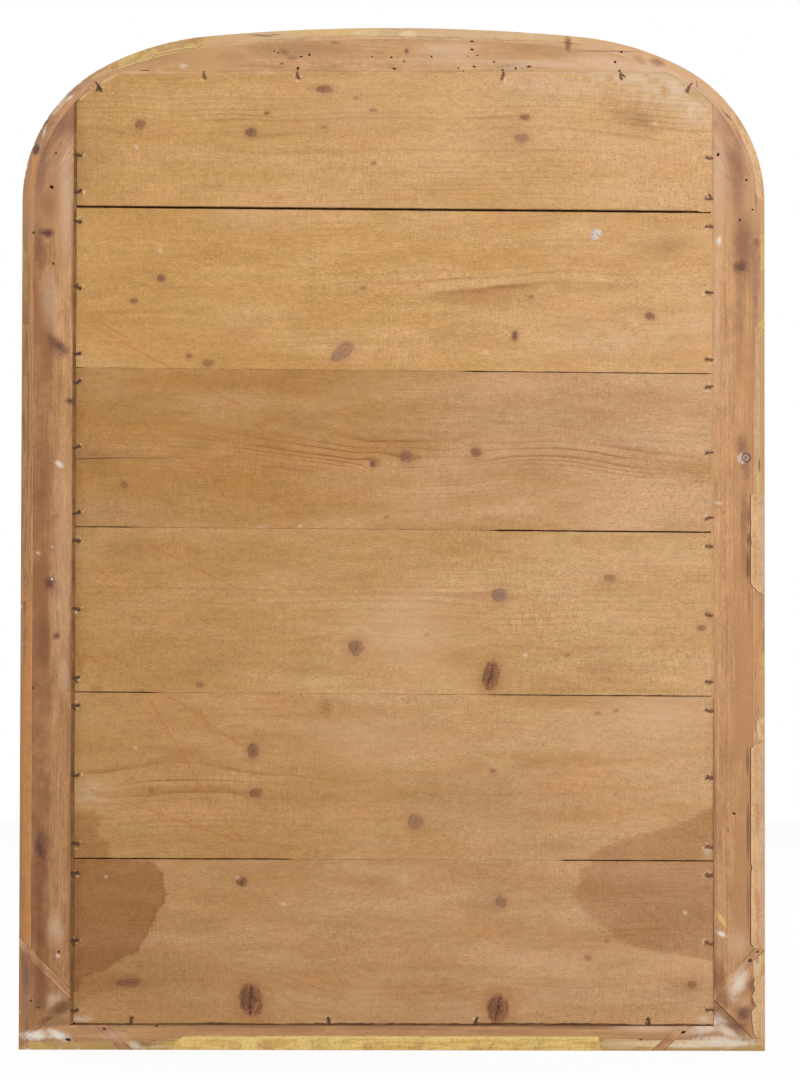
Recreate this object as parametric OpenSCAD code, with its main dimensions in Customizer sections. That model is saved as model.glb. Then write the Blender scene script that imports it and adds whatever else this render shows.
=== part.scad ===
// An arched mirror in a gilt frame, closed at the back with nailed softwood boards.
// It is drawn lying on its back: x to the right as seen from the front, y up the frame
// and z forward from the back plane. stand() then sets it upright with its glass facing -y.
// Sections are drawn with u inward from the outer edge and v forward from the back plane.

/* [Frame outline] */
// Overall width of the frame
frame_w = 1040; // [940:5:1140]
// Overall height of the frame
frame_h = 1430; // [1380:5:1560]
// Outer radius of the rounded upper corners
corner_r = 215; // [190:1:235]
// Outer radius of the shoulders, between the corners and the crown
shoulder_r = 395; // [350:1:440]
// Half of the angle that the flat crown arc spans
crown_half_angle = 5.3; // [5:0.1:6.5]
// Angle from upright at which a shoulder passes into its corner
shoulder_angle = 27; // [23:0.5:32]

/* [Carcass] */
// Thickness of the softwood carcass
carcass_t = 32; // [31:0.5:38]
// Width of the face, from the outer edge to the sight edge at the glass
face_w = 123; // [121:0.5:128]
// Thickness of the lip that the glass bears on
lip_t = 7; // [5:0.5:8]
// Width of the gilt return that hides the end of the lip
lip_return = 4; // [3:0.5:5]

/* [Loose tongues] */
// Length of a loose tongue in the joints of the arch
tongue_l = 50; // [30:1:60]
// Width of a loose tongue
tongue_w = 40; // [25:1:50]
// Thickness of a loose tongue
tongue_t = 8; // [5:0.5:10]
// Distance from the outer edge to the near side of a loose tongue
tongue_inset = 40; // [30:1:50]
// Clearance round the loose tongues and the mitre keys
glue_line = 0.1; // [0.05:0.05:0.3]

/* [Mitre keys] */
// How far a key's centre lies past the side of the boards' rebate, where it crosses the mitre
key_past = 3; // [-3:0.5:10]
// Width of a key where it shows at the back
key_w = 12; // [8:0.5:15]
// How much wider a key is on each side at its foot
key_flare = 1.5; // [0.5:0.25:3]
// How deep a key is let into the back
key_d = 22; // [18:0.5:26]

/* [Crest moulding] */
// Width of the bevelled strip that the crest moulding shows at the back
strip_w = 17; // [12:0.5:20]
// Depth of the bevel on that strip
strip_bevel = 6; // [3:0.5:9]
// Width of the crest moulding across the front
crest_w = 28; // [26:0.5:34]
// Height of the crest moulding's shelf above the carcass
shelf_h = 16; // [12:0.5:20]
// Radius of the round bead on the crest
bead_r = 11; // [9:0.5:12]
// Height of the bead's centre above the shelf
bead_lift = 5; // [3:0.5:7]

/* [Ogee moulding] */
// How far the ogee's outer fillet lies below the crest's shelf
ogee_step = 1; // [0.5:0.5:3]
// Height of the ogee's inner fillet above the carcass
ogee_low = 4; // [3.5:0.5:6]
// Width of each fillet beside the ogee's curve
fillet_w = 4; // [2:0.5:6]
// Height of the little step between a fillet and the curve
quirk = 1; // [0.5:0.25:2]

/* [Pearl slip] */
// Width of the slip from the ogee to the sight edge
slip_w = 25; // [24:0.5:28]
// Height of the slip's fillets above the carcass
slip_h = 6; // [5:0.5:8]
// Height of the channel's floor above the carcass
channel_h = 3; // [2:0.25:4]
// Width of the channel that the pearls lie in
channel_w = 14; // [12:0.5:14.5]
// Width of the fillet on each side of the channel
slip_fillet = 3.5; // [2:0.25:3.75]
// How far below the carcass's face the bevel to the glass ends
sight_drop = 1; // [0.5:0.25:3]
// Radius of a pearl
pearl_r = 5.5; // [4:0.25:5.75]
// Distance from one pearl to the next
pearl_pitch = 13; // [12:0.25:16]

/* [Glass] */
// Distance from the outer edge of the frame to the edge of the glass
glass_inset = 115; // [114:0.25:116]
// Clearance between the edge of the glass and its rebate
glass_gap = 1.5; // [1:0.25:2.5]
// Thickness of the glass
glass_t = 5; // [3:0.25:6]
// Thickness of the silvering and its backing paint
silver_t = 0.3; // [0.2:0.05:0.5]
// Length of a packer under the glass
packer_l = 60; // [40:1:90]
// Distance between the two packers, centre to centre
packer_pitch = 420; // [300:5:520]
// Length of a glazing block
block_l = 60; // [40:1:80]
// How far a glazing block reaches in from the rebate
block_w = 14; // [8:0.5:16]
// Distance between the glazing blocks on one side
block_pitch = 330; // [280:5:380]

/* [Backboards] */
// Thickness of the boards
board_t = 12; // [10:0.5:13]
// How far the boards lie below the back of the frame
board_recess = 2; // [2:0.25:3]
// Distance from the outer edge to the boards' rebate at the sides
side_margin = 72; // [60:0.5:85]
// Distance from the outer edge to the boards' rebate at the bottom
bottom_margin = 35; // [28:0.5:45]
// Distance from the outer edge to the boards' rebate at the crown
top_margin = 62; // [55:0.5:75]
// Width of the top board at its right end
top_board = 189; // [170:0.5:215]
// How much wider than their mean the boards below it are at their right ends, from the bottom up
board_extras = [1, 4, 3, -5, -3]; // [-12:0.5:12]
// How far each joint falls from its right end to its left end
joint_falls = [2, 4.5, 6, 7, 6]; // [-8:0.5:8]
// Gap at each joint
joint_gaps = [1, 0.6, 0.8, 0.6, 3]; // [0.4:0.1:4]
// Gap between the boards' right ends and the rebate
right_end_gap = 4; // [0.5:0.25:6]
// Gap between the boards' left ends and the rebate
left_end_gap = 0.5; // [0.5:0.25:6]
// Gap under the bottom board
foot_gap = 3; // [0.5:0.25:5]
// Gap round the top board, at the crown and the corners
head_gap = 0.8; // [0.5:0.1:3]

/* [Nails] */
// Width of a cut nail
nail_w = 2.4; // [1.6:0.1:3]
// Thickness of a cut nail
nail_t = 1.8; // [1.2:0.1:1.9]
// Depth of a nail's driven leg below the back of the frame
nail_depth = 17; // [12:0.5:18]
// Length of a nail's point
nail_point = 4; // [2:0.5:8]
// Distance from the driven leg's far side to the rebate
nail_set = 4; // [3:0.25:6]
// How far a nail is bent in over the boards
nail_lap = 11; // [8:0.5:16]
// Width of a nail's head
head_w = 4.6; // [3.4:0.1:6]
// Length of a nail's head
head_l = 1.6; // [1:0.1:2.5]
// Distance from a board's edges to its outer nails
nail_edge = 19; // [14:1:30]
// Distance of the outer nails along the top edge from the left and right sides of the rebate
top_outer_nails = [129, 182]; // [120:1:200]
// Places of the inner nails along the top edge, from the centre
top_inner_nails = [-153, 134]; // [-220:1:200]
// Distance of the outer nails along the bottom edge from the left and right sides of the rebate
bottom_outer_nails = [90, 85]; // [75:1:140]
// Places of the inner nails along the bottom edge, from the centre
bottom_inner_nails = [-118, 89]; // [-220:1:220]
// Angle up from level, round an upper corner, of the nail there
corner_nail_angle = 56; // [52:1:60]

/* [Hidden] */
arms = ["left", "right"];
rings = ["carcass", "crest_moulding", "ogee_moulding", "pearl_slip"];
arm_parts = ["stile", "corner", "shoulder"];
middle_parts = ["crown", "bottom_rail"];
board_count = len(board_extras) + 1;

pine = "burlywood";
gold = "goldenrod";
iron = "dimgray";
arc_fn = 240;
bead_fn = 48;
corner_steps = 20; // straight sides that stand for each arc in a cut sheet
shoulder_steps = 9;
crown_steps = 6;
over = 1; // how far a cutting solid runs past the face that it opens

half_w = frame_w / 2;
// The arch is five tangent arcs, and the crown's radius follows from the frame's width.
crown_r = shoulder_r + (half_w - corner_r - (shoulder_r - corner_r) * sin(shoulder_angle))
    / sin(crown_half_angle);
crown_c = [0, frame_h - crown_r];
shoulder_c = crown_c - (crown_r - shoulder_r) * [sin(crown_half_angle), -cos(crown_half_angle)];
corner_c = shoulder_c - (shoulder_r - corner_r) * [sin(shoulder_angle), -cos(shoulder_angle)];
spring_y = corner_c.y;
crown_start = 90 + crown_half_angle; // polar angle at which the left shoulder begins
corner_start = 90 + shoulder_angle; // polar angle at which the left corner begins

glass_front = carcass_t - lip_t;
glass_back = glass_front - glass_t;
silver_back = glass_back - silver_t;
rebate_inset = glass_inset - glass_gap;
board_floor = board_recess + board_t;
shelf_top = carcass_t + shelf_h;
crest_top = shelf_top + bead_lift + bead_r;
slip_inset = face_w - slip_w;
channel_inset = slip_inset + slip_fillet;
pearl_inset = channel_inset + channel_w / 2;
pocket_x = half_w - side_margin;
pocket_top = frame_h - top_margin;
nail_top = board_recess - nail_t;
key_reach = 2 * (side_margin + key_past); // along the outer edges, from a lower corner to its key

// Sets the mirror upright, with its depth centred on y = 0
module stand() translate([0, crest_top / 2, 0]) rotate([90, 0, 0]) children();

// Draws the children on the left arm of the frame, or mirrors them to the right one
module on_arm(arm) mirror([arm == "left" ? 0 : 1, 0, 0]) children();

module both_arms() for (arm = arms) on_arm(arm) children();

function polar(a) = [cos(a), sin(a)];
function arc_points(c, r, a, b, n) = [for (i = [1:n]) c + r * polar(a + (b - a) * i / n)];
function flip(points) = [for (i = [len(points) - 1:-1:0]) [-points[i].x, points[i].y]];

// Points of the left half of the frame's outline, moved inward by u
function left_outline(u) = concat(
    [[u - half_w, u], [u - half_w, spring_y]],
    arc_points(corner_c, corner_r - u, 180, corner_start, corner_steps),
    arc_points(shoulder_c, shoulder_r - u, corner_start, crown_start, shoulder_steps),
    arc_points(crown_c, crown_r - u, crown_start, 90, crown_steps)
);
function outline(u) = let (left = left_outline(u), right = flip(left))
    concat(left, [for (i = [1:len(right) - 1]) right[i]]);

// Sweeps a section, drawn in u and v, round an arc of the outline
module arc_sweep(c, r, start, sweep)
    translate([c.x, c.y, 0]) rotate_extrude(angle = sweep, start = start, $fn = arc_fn)
        translate([r, 0]) mirror([1, 0]) children();

// Sweeps a section, drawn in u and v, along one part of the left arm or the middle
module sweep(part) {
    if (part == "stile") difference() {
        translate([-half_w, spring_y, 0]) rotate([90, 0, 0]) linear_extrude(spring_y) children();
        translate([-half_w, 0, -over]) rotate(-45) translate([0, -over, 0])
            cube([2 * face_w, 2 * face_w, crest_top + 2 * over]);
    }
    if (part == "corner")
        arc_sweep(corner_c, corner_r, corner_start, 180 - corner_start) children();
    if (part == "shoulder")
        arc_sweep(shoulder_c, shoulder_r, crown_start, corner_start - crown_start) children();
    if (part == "crown")
        arc_sweep(crown_c, crown_r, 180 - crown_start, 2 * crown_start - 180) children();
    if (part == "bottom_rail") difference() {
        translate([-half_w, 0, 0]) rotate([90, 0, 90]) linear_extrude(frame_w) children();
        both_arms() translate([-half_w, 0, -over]) rotate(45) translate([-over, 0, 0])
            cube([2 * face_w, face_w, crest_top + 2 * over]);
    }
}

// Carcass: one section for all its parts, with the rebate for the glass
module carcass_section() polygon([
    [strip_w, 0], [rebate_inset, 0], [rebate_inset, glass_front],
    [face_w - lip_return, glass_front], [face_w - lip_return, carcass_t], [strip_w, carcass_t]
]);

module board_rebate()
    translate([-pocket_x, bottom_margin, -over])
        cube([2 * pocket_x, pocket_top - bottom_margin, board_floor + over]);

module carcass(part, arm) color(pine) stand() difference() {
    on_arm(arm) sweep(part) carcass_section();
    board_rebate();
    if (part == "stile" || part == "bottom_rail") both_arms() key_slot();
    if (part != "bottom_rail") both_arms() tongues_of_arm(glue_line);
    if (part == "shoulder" || part == "crown") top_nail_solids();
    if (part == "stile" || part == "corner") side_nail_solids(arm);
    if (part == "bottom_rail") {
        bottom_nail_solids();
        for (side = arms) side_nail_solids(side);
    }
}

// Loose tongues in the three joints of each side of the arch
module loose_tongue(c, r, a, grow)
    translate([c.x, c.y, (board_floor + carcass_t - tongue_t) / 2 - grow]) rotate(a)
        translate([r - tongue_inset - tongue_w - grow, -tongue_l / 2 - grow, 0])
            cube([tongue_w + 2 * grow, tongue_l + 2 * grow, tongue_t + 2 * grow]);

module tongues_of_arm(grow) {
    loose_tongue(corner_c, corner_r, 180, grow);
    loose_tongue(corner_c, corner_r, corner_start, grow);
    loose_tongue(shoulder_c, shoulder_r, crown_start, grow);
}

module loose_tongues() color(pine) stand() both_arms() tongues_of_arm(0);

// Mitre key: a dovetailed bar let in from the back, square across a lower mitre
function key_half(v) = key_w / 2 + key_flare * v / key_d;

module key_bar(grow, top) {
    foot = key_d + grow;
    length = 2 * key_reach;
    translate([-half_w + key_reach / 2, key_reach / 2, 0]) rotate([90, 0, 45])
        linear_extrude(length, center = true) polygon([
            [-key_half(top) - grow, top], [key_half(top) + grow, top],
            [key_half(foot) + grow, foot], [-key_half(foot) - grow, foot]
        ]);
}

module key_slot() key_bar(glue_line, -over);

// Wedge that planes the strip's bevel along the left edge of a key
module strip_wedge()
    translate([-half_w, 2 * key_reach, 0]) rotate([90, 0, 0])
        linear_extrude(2 * key_reach + over) polygon([
            [-over, -over], [strip_w, -over], [strip_w, 0], [0, strip_bevel], [-over, strip_bevel]
        ]);

module mitre_key(arm) color(pine) stand() on_arm(arm) difference() {
    intersection() {
        key_bar(0, 0);
        translate([-half_w, 0, -over]) cube([half_w, half_w, key_d + 2 * over]);
    }
    board_rebate();
    strip_wedge();
    translate([-half_w, 0, 0]) mirror([1, -1, 0]) translate([half_w, 0, 0]) strip_wedge();
}

// Crest moulding: planted round the carcass, it shows at the back as the bevelled strip
module crest_section() {
    polygon([
        [0, strip_bevel], [strip_w, 0], [strip_w, carcass_t], [crest_w, carcass_t],
        [crest_w, shelf_top], [0, shelf_top]
    ]);
    translate([crest_w / 2, shelf_top + bead_lift]) circle(bead_r, $fn = bead_fn);
}

module crest_moulding(part, arm) color(gold) stand() difference() {
    on_arm(arm) sweep(part) crest_section();
    if (part == "stile" || part == "bottom_rail") both_arms() key_slot();
    if (part == "corner") on_arm(arm) corner_nail();
}

// Ogee moulding: a round over a hollow, with a quirk between them and beside each fillet
module ogee_section() {
    high = shelf_top - ogee_step;
    low = carcass_t + ogee_low;
    start = crest_w + fillet_w;
    reach = (slip_inset - fillet_w - start) / 2; // width of the round, and of the hollow
    fall = (high - low - quirk) / 2; // height of each
    r = (reach * reach + fall * fall) / (2 * fall);
    translate([crest_w, carcass_t]) square([fillet_w, high - carcass_t]);
    translate([start + 2 * reach, carcass_t]) square([fillet_w, ogee_low]);
    intersection() {
        translate([start, high - quirk - r]) circle(r, $fn = arc_fn);
        translate([start, carcass_t]) square([reach, r]);
    }
    difference() {
        translate([start + reach, carcass_t]) square([reach, r]);
        translate([start + 2 * reach, low - quirk + r]) circle(r, $fn = arc_fn);
    }
}

module ogee_moulding(part, arm) color(gold) stand() on_arm(arm) sweep(part) ogee_section();

// Pearl slip: carries the pearls in a channel and laps the end of the lip
module slip_section() {
    top = carcass_t + slip_h;
    floor = carcass_t + channel_h;
    inner = channel_inset + channel_w;
    polygon([
        [slip_inset, carcass_t], [slip_inset, top], [channel_inset, top], [channel_inset, floor],
        [inner, floor], [inner, top], [inner + slip_fillet, top],
        [face_w, carcass_t - sight_drop], [face_w, glass_front],
        [face_w - lip_return, glass_front], [face_w - lip_return, carcass_t]
    ]);
}

module pearl_slip(part, arm) color(gold) stand() on_arm(arm) sweep(part) slip_section();

// Pearls: half balls on the channel's floor, one at each lower mitre
function steps(length) = max(1, round(length / pearl_pitch));
function arc_spots(c, r, a, b) = arc_points(c, r, a, b, steps(abs(b - a) * PI / 180 * r));

function side_spots() = let (
        x = pearl_inset - half_w,
        n = steps(spring_y - pearl_inset)
    ) concat(
        [for (i = [1:n]) [x, pearl_inset + (spring_y - pearl_inset) * i / n]],
        arc_spots(corner_c, corner_r - pearl_inset, 180, corner_start),
        arc_spots(shoulder_c, shoulder_r - pearl_inset, corner_start, crown_start)
    );
function crown_spots() = let (
        all = arc_spots(crown_c, crown_r - pearl_inset, crown_start, 180 - crown_start)
    ) [for (i = [0:len(all) - 2]) all[i]];
function bottom_spots() = let (x = half_w - pearl_inset, n = steps(2 * x))
    [for (i = [0:n]) [-x + 2 * x * i / n, pearl_inset]];

module pearl_row(spots) color(gold) stand()
    for (spot = spots) translate([spot.x, spot.y, carcass_t + channel_h])
        rotate_extrude($fn = bead_fn) intersection() {
            circle(pearl_r);
            square(pearl_r);
        }

module pearls(side) {
    if (side == "left") pearl_row(side_spots());
    if (side == "right") pearl_row(flip(side_spots()));
    if (side == "crown") pearl_row(crown_spots());
    if (side == "bottom") pearl_row(bottom_spots());
}

// Glass, its silvering, the packers under it and the blocks that hold it from behind
module glass_sheet(back, t) translate([0, 0, back]) linear_extrude(t)
    polygon(outline(glass_inset));

module mirror_glass() color("lightsteelblue") stand() glass_sheet(glass_back, glass_t);

module silvering() color("silver") stand() glass_sheet(silver_back, silver_t);

module glass_packers() color(pine) stand()
    for (side = [-1, 1])
        translate([side * packer_pitch / 2 - packer_l / 2, rebate_inset, glass_back])
            cube([packer_l, glass_gap, glass_t]);

module glazing_blocks() {
    middle = (rebate_inset + spring_y) / 2;
    rebate_x = half_w - rebate_inset;
    color(pine) stand() translate([0, 0, board_floor])
        linear_extrude(silver_back - board_floor) intersection() {
            polygon(outline(rebate_inset));
            union() {
                for (side = [-1, 1], i = [-1:1])
                    translate([side * (rebate_x - block_w / 2), middle + i * block_pitch])
                        square([block_w, block_l], center = true);
                for (side = [-1, 1]) {
                    translate([side * block_pitch / 2, rebate_inset + block_w / 2])
                        square([block_l, block_w], center = true);
                    translate(crown_c) rotate(-side * crown_half_angle / 2)
                        translate([-block_l / 2, crown_r - rebate_inset - block_w])
                            square([block_l, block_w]);
                }
            }
        }
}

// Backboards: laid across, each joint a little out of level, the top one cut to the arch
function sum_to(list, n) = n < 1 ? 0 : list[n - 1] + sum_to(list, n - 1);
boards_foot = bottom_margin + foot_gap;
mean_board = (pocket_top - top_board - boards_foot - sum_to(joint_gaps, board_count - 1))
    / (board_count - 1);
function board_width(i) = mean_board + board_extras[i - 1];
function board_foot(i) = i == 1 ? boards_foot : board_head(i - 1) + joint_gaps[i - 2];
function foot_fall(i) = i == 1 ? 0 : joint_falls[i - 2];
function board_head(i) = i < board_count ? board_foot(i) + board_width(i) : frame_h;
function head_fall(i) = i < board_count ? joint_falls[i - 1] : 0;

module backboard(i) {
    left = left_end_gap - pocket_x;
    right = pocket_x - right_end_gap;
    color(pine) stand() translate([0, 0, board_recess]) linear_extrude(board_t)
        intersection() {
            polygon([
                [left, board_foot(i) - foot_fall(i)], [right, board_foot(i)],
                [right, board_head(i)], [left, board_head(i) - head_fall(i)]
            ]);
            polygon(outline(strip_w + head_gap));
            translate([-half_w, 0]) square([frame_w, pocket_top - head_gap]);
        }
}

// Cut nails: driven into the frame beside the rebate and bent in over the boards
module nail() {
    bend = nail_t / 2;
    point = nail_depth - nail_point;
    rotate([90, 0, 0]) linear_extrude(nail_w, center = true) polygon([
        [-nail_set, nail_top + bend], [-nail_set, point], [nail_t / 2 - nail_set, nail_depth],
        [nail_t - nail_set, point], [nail_t - nail_set, board_recess],
        [nail_lap, board_recess], [nail_lap, nail_top], [bend - nail_set, nail_top]
    ]);
    translate([nail_lap - head_l, -head_w / 2, nail_top]) cube([head_l, head_w, nail_t]);
}

// Height at which the left corner's arc meets the straight side of the rebate
corner_meet = spring_y
    + sqrt(pow(corner_r - strip_w, 2) - pow(pocket_x + corner_c.x, 2));

function board_nails(i, fall_share) = let (
        foot = board_foot(i) - fall_share * foot_fall(i),
        head = i < board_count ? board_head(i) - fall_share * head_fall(i) : corner_meet,
        inner = foot + nail_edge
    ) i < board_count ? [inner, (foot + head) / 2, head - nail_edge] : [inner, (foot + head) / 2];

// The nails of one side, in that side's own half
module side_nail_solids(arm)
    for (i = [1:board_count], y = board_nails(i, arm == "left" ? 1 : 0))
        on_arm(arm) translate([-pocket_x, y, 0]) nail();

module corner_nail()
    translate([corner_c.x, corner_c.y, 0]) rotate(180 - corner_nail_angle)
        translate([corner_r - strip_w, 0, 0]) rotate(180) nail();

function along_edge(outer, inner) = concat([outer[0] - pocket_x], inner, [pocket_x - outer[1]]);

module top_nail_solids()
    for (x = along_edge(top_outer_nails, top_inner_nails))
        translate([x, pocket_top, 0]) rotate(-90) nail();

module bottom_nail_solids()
    for (x = along_edge(bottom_outer_nails, bottom_inner_nails))
        translate([x, bottom_margin, 0]) rotate(90) nail();

module nails(side) color(iron) stand() {
    if (side == "left" || side == "right") {
        side_nail_solids(side);
        on_arm(side) corner_nail();
    }
    if (side == "top") top_nail_solids();
    if (side == "bottom") bottom_nail_solids();
}

for (part = arm_parts, arm = arms) {
    carcass(part, arm);
    crest_moulding(part, arm);
    ogee_moulding(part, arm);
    pearl_slip(part, arm);
}
for (part = middle_parts) {
    carcass(part, "left");
    crest_moulding(part, "left");
    ogee_moulding(part, "left");
    pearl_slip(part, "left");
}
for (arm = arms)
    mitre_key(arm);
for (side = ["left", "right", "crown", "bottom"])
    pearls(side);
for (i = [1:board_count])
    backboard(i);
for (side = ["left", "right", "top", "bottom"])
    nails(side);
loose_tongues();
mirror_glass();
silvering();
glass_packers();
glazing_blocks();
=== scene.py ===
import math

import bmesh
import bpy
import numpy as np
from mathutils import Matrix, Vector, geometry


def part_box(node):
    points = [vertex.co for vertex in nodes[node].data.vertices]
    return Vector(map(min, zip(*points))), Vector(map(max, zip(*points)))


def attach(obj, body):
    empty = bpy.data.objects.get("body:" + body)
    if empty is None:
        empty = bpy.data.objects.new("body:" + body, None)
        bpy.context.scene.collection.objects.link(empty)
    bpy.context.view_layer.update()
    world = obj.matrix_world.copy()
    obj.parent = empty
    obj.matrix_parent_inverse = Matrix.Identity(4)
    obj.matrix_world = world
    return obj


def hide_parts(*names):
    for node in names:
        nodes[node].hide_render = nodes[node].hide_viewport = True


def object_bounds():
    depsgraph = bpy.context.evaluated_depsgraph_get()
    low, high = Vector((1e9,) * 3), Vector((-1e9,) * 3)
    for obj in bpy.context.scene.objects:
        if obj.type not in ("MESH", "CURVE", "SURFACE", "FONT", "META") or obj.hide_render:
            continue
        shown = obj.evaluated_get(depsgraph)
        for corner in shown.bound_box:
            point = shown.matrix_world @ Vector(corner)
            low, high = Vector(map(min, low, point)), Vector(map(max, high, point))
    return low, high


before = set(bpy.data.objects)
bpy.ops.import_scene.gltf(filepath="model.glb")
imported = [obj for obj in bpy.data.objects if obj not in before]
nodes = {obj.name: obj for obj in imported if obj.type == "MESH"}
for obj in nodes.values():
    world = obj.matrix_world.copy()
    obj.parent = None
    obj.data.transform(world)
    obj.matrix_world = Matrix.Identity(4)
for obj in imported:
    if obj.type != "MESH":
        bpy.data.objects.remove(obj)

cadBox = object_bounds()
mm = 0.001
backY = cadBox[1].y  # the plane that the frame's back lies in
halfWidth, frameHeight = cadBox[1].x, cadBox[1].z
print("frame loaded:", len(nodes), "nodes")


# Camera, square on to the back and looking up a little
view = {
    "picture": (800, 1080),
    "distance": 5.0,  # from the back plane
    "lookUp": 1.45,  # degrees
    "roll": -0.11,  # degrees
    "aim": (-10 * mm, 711.1 * mm),  # what the middle of the picture shows on the back plane
    "covers": 1508.3 * mm,  # height of the back plane that the picture shows
    "sensor": 24,
}


class Eye:  # turns places on the object into places in the picture and back
    def __init__(self, values):
        tilt = math.radians(values["lookUp"])
        forward = Vector((0, -math.cos(tilt), math.sin(tilt)))
        right = Vector((-1, 0, 0))
        turn = Matrix.Rotation(math.radians(values["roll"]), 3, forward)
        self.right, self.up, self.forward = turn @ right, turn @ right.cross(forward), forward
        reach = values["distance"] / math.cos(tilt)
        self.place = Vector((values["aim"][0], backY, values["aim"][1])) - forward * reach
        self.slope = values["covers"] / 2 / reach
        self.middle = (values["picture"][0] / 2, values["picture"][1] / 2)

    def picture(self, x, y, z):
        away = np.stack(np.broadcast_arrays(x, y, z), -1) - np.array(self.place)
        depth = away @ np.array(self.forward)
        half = self.middle[1]
        px = self.middle[0] + away @ np.array(self.right) / depth / self.slope * half
        py = half - away @ np.array(self.up) / depth / self.slope * half
        return px, py

    def point(self, px, py, y=backY):
        across = (px - self.middle[0]) / self.middle[1] * self.slope
        rise = (self.middle[1] - py) / self.middle[1] * self.slope
        ray = self.forward + self.right * across + self.up * rise
        return self.place + ray * ((y - self.place.y) / ray.y)


def addCamera(values):
    data = bpy.data.cameras.new("camera")
    data.sensor_fit = "VERTICAL"
    data.sensor_height = values["sensor"]
    data.lens = values["sensor"] / 2 / eye.slope
    data.clip_end = 60
    camera = bpy.data.objects.new("camera", data)
    axes = Matrix((eye.right, eye.up, -eye.forward)).transposed()
    camera.matrix_world = Matrix.Translation(eye.place) @ axes.to_4x4()
    bpy.context.scene.collection.objects.link(camera)
    bpy.context.scene.camera = camera


eye = Eye(view)
addCamera(view)
print("camera placed")


# Shader maths
class Wire:  # an output socket; a sum that holds one adds its Math nodes
    def __init__(self, tree, socket):
        self.tree, self.socket = tree, socket

    def maths(self, operation, *values):
        return self.tree.add("Math", {"operation": operation}, dict(enumerate(values)))

    def __add__(self, other):
        return self.maths("ADD", self, other)

    def __radd__(self, other):
        return self.maths("ADD", other, self)

    def __sub__(self, other):
        return self.maths("SUBTRACT", self, other)

    def __rsub__(self, other):
        return self.maths("SUBTRACT", other, self)

    def __mul__(self, other):
        return self.maths("MULTIPLY", self, other)

    def __rmul__(self, other):
        return self.maths("MULTIPLY", other, self)

    def __truediv__(self, other):
        return self.maths("DIVIDE", self, other)

    def __rtruediv__(self, other):
        return self.maths("DIVIDE", other, self)

    def __abs__(self):
        return self.maths("ABSOLUTE", self)

    def most(self, other):
        return self.maths("MAXIMUM", self, other)

    def least(self, other):
        return self.maths("MINIMUM", self, other)

    def wave(self):
        return self.maths("SINE", self)

    def root(self):
        return self.maths("SQRT", self)

    def angle(self, other):
        return self.maths("ARCTAN2", self, other)

    def part(self):
        return self.maths("FRACT", self)


class Tree:  # the nodes of one material
    def __init__(self, name):
        self.material = bpy.data.materials.new(name)
        self.material.use_nodes = True
        self.nodes = self.material.node_tree.nodes
        self.links = self.material.node_tree.links
        self.shader = self.nodes["Principled BSDF"]
        self.output = self.nodes["Material Output"]
        self.place = self.add("TexCoord", output="Object")

    def add(self, kind, settings=None, values=None, output=0):
        node = self.nodes.new("ShaderNode" + kind)
        for name, value in (settings or {}).items():
            setattr(node, name, value)
        for name, value in (values or {}).items():
            self.feed(node.inputs[name], value)
        return Wire(self, node.outputs[output])

    def feed(self, socket, value):
        if isinstance(value, Wire):
            self.links.new(value.socket, socket)
        else:
            socket.default_value = value

    def parts(self, vector):
        wire = self.add("SeparateXYZ", None, {0: vector})
        outputs = wire.socket.node.outputs
        return [Wire(self, outputs[i]) for i in range(3)]

    def length(self, vector):
        return self.add("VectorMath", {"operation": "LENGTH"}, {0: vector}, "Value")

    def shade(self, colour, amount):  # a colour made lighter or darker
        return self.add("VectorMath", {"operation": "SCALE"}, {0: colour, "Scale": amount})

    def noise(self, scales, detail=2.0, vector=None, roughness=0.5):  # one scale, or one for each axis
        scales = scales if isinstance(scales, tuple) else (scales,) * 3
        spread = self.add("VectorMath", {"operation": "MULTIPLY"}, {0: vector or self.place, 1: scales})
        return self.add("TexNoise", None, {"Vector": spread, "Scale": 1.0, "Detail": detail,
                                           "Roughness": roughness})

    def swing(self, *scales, **more):  # noise to both sides of zero
        return self.noise(*scales, **more) - 0.5

    def patchy(self, low, high, *scales, **more):  # patches of 1 where noise is high
        return self.rise(self.noise(*scales, **more), low, high)

    def rise(self, value, low, high):  # 0 below low, 1 above high, smooth between
        return self.add("MapRange", {"interpolation_type": "SMOOTHSTEP"},
                        {"Value": value, "From Min": low, "From Max": high})

    def fall(self, value, low, high):
        return 1 - self.rise(value, low, high)

    def between(self, value, low, high, soft):
        return self.rise(value, low - soft, low + soft) * self.fall(value, high - soft, high + soft)

    def mix(self, first, second, factor, blend="MIX"):
        settings = {"data_type": "RGBA", "blend_type": blend, "clamp_factor": True}
        return self.add("Mix", settings, {0: factor, 6: first, 7: second}, output=2)

    def coat(self, colour, paint, factor):  # a paint, as it shows, over a colour
        return self.mix(colour, tint(*paint), factor)

    def dye(self, colour, stain, factor):  # a colour seen through a thin stain
        return self.mix(colour, self.mix(colour, stain, 1.0, "MULTIPLY"), factor)

    def field(self, name, output="Fac"):
        return self.add("Attribute", {"attribute_name": name}, None, output)

    def bump(self, height, strength, distance):
        return self.add("Bump", None, {"Height": height, "Strength": strength, "Distance": distance},
                        "Normal")

    def finish(self, values):
        for name, value in values.items():
            self.feed(self.shader.inputs[name], value)
        return self.material


def table(columns, rows):  # a dictionary of named values for each row
    return {name: dict(zip(columns, row)) for name, row in rows.items()}


def tint(red, green, blue):  # a colour as it shows, 0 to 255, in the renderer's own linear values
    linear = [c / 255 / 12.92 if c < 10.3 else ((c / 255 + 0.055) / 1.055) ** 2.4
              for c in (red, green, blue)]
    return (*linear, 1.0)


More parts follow.
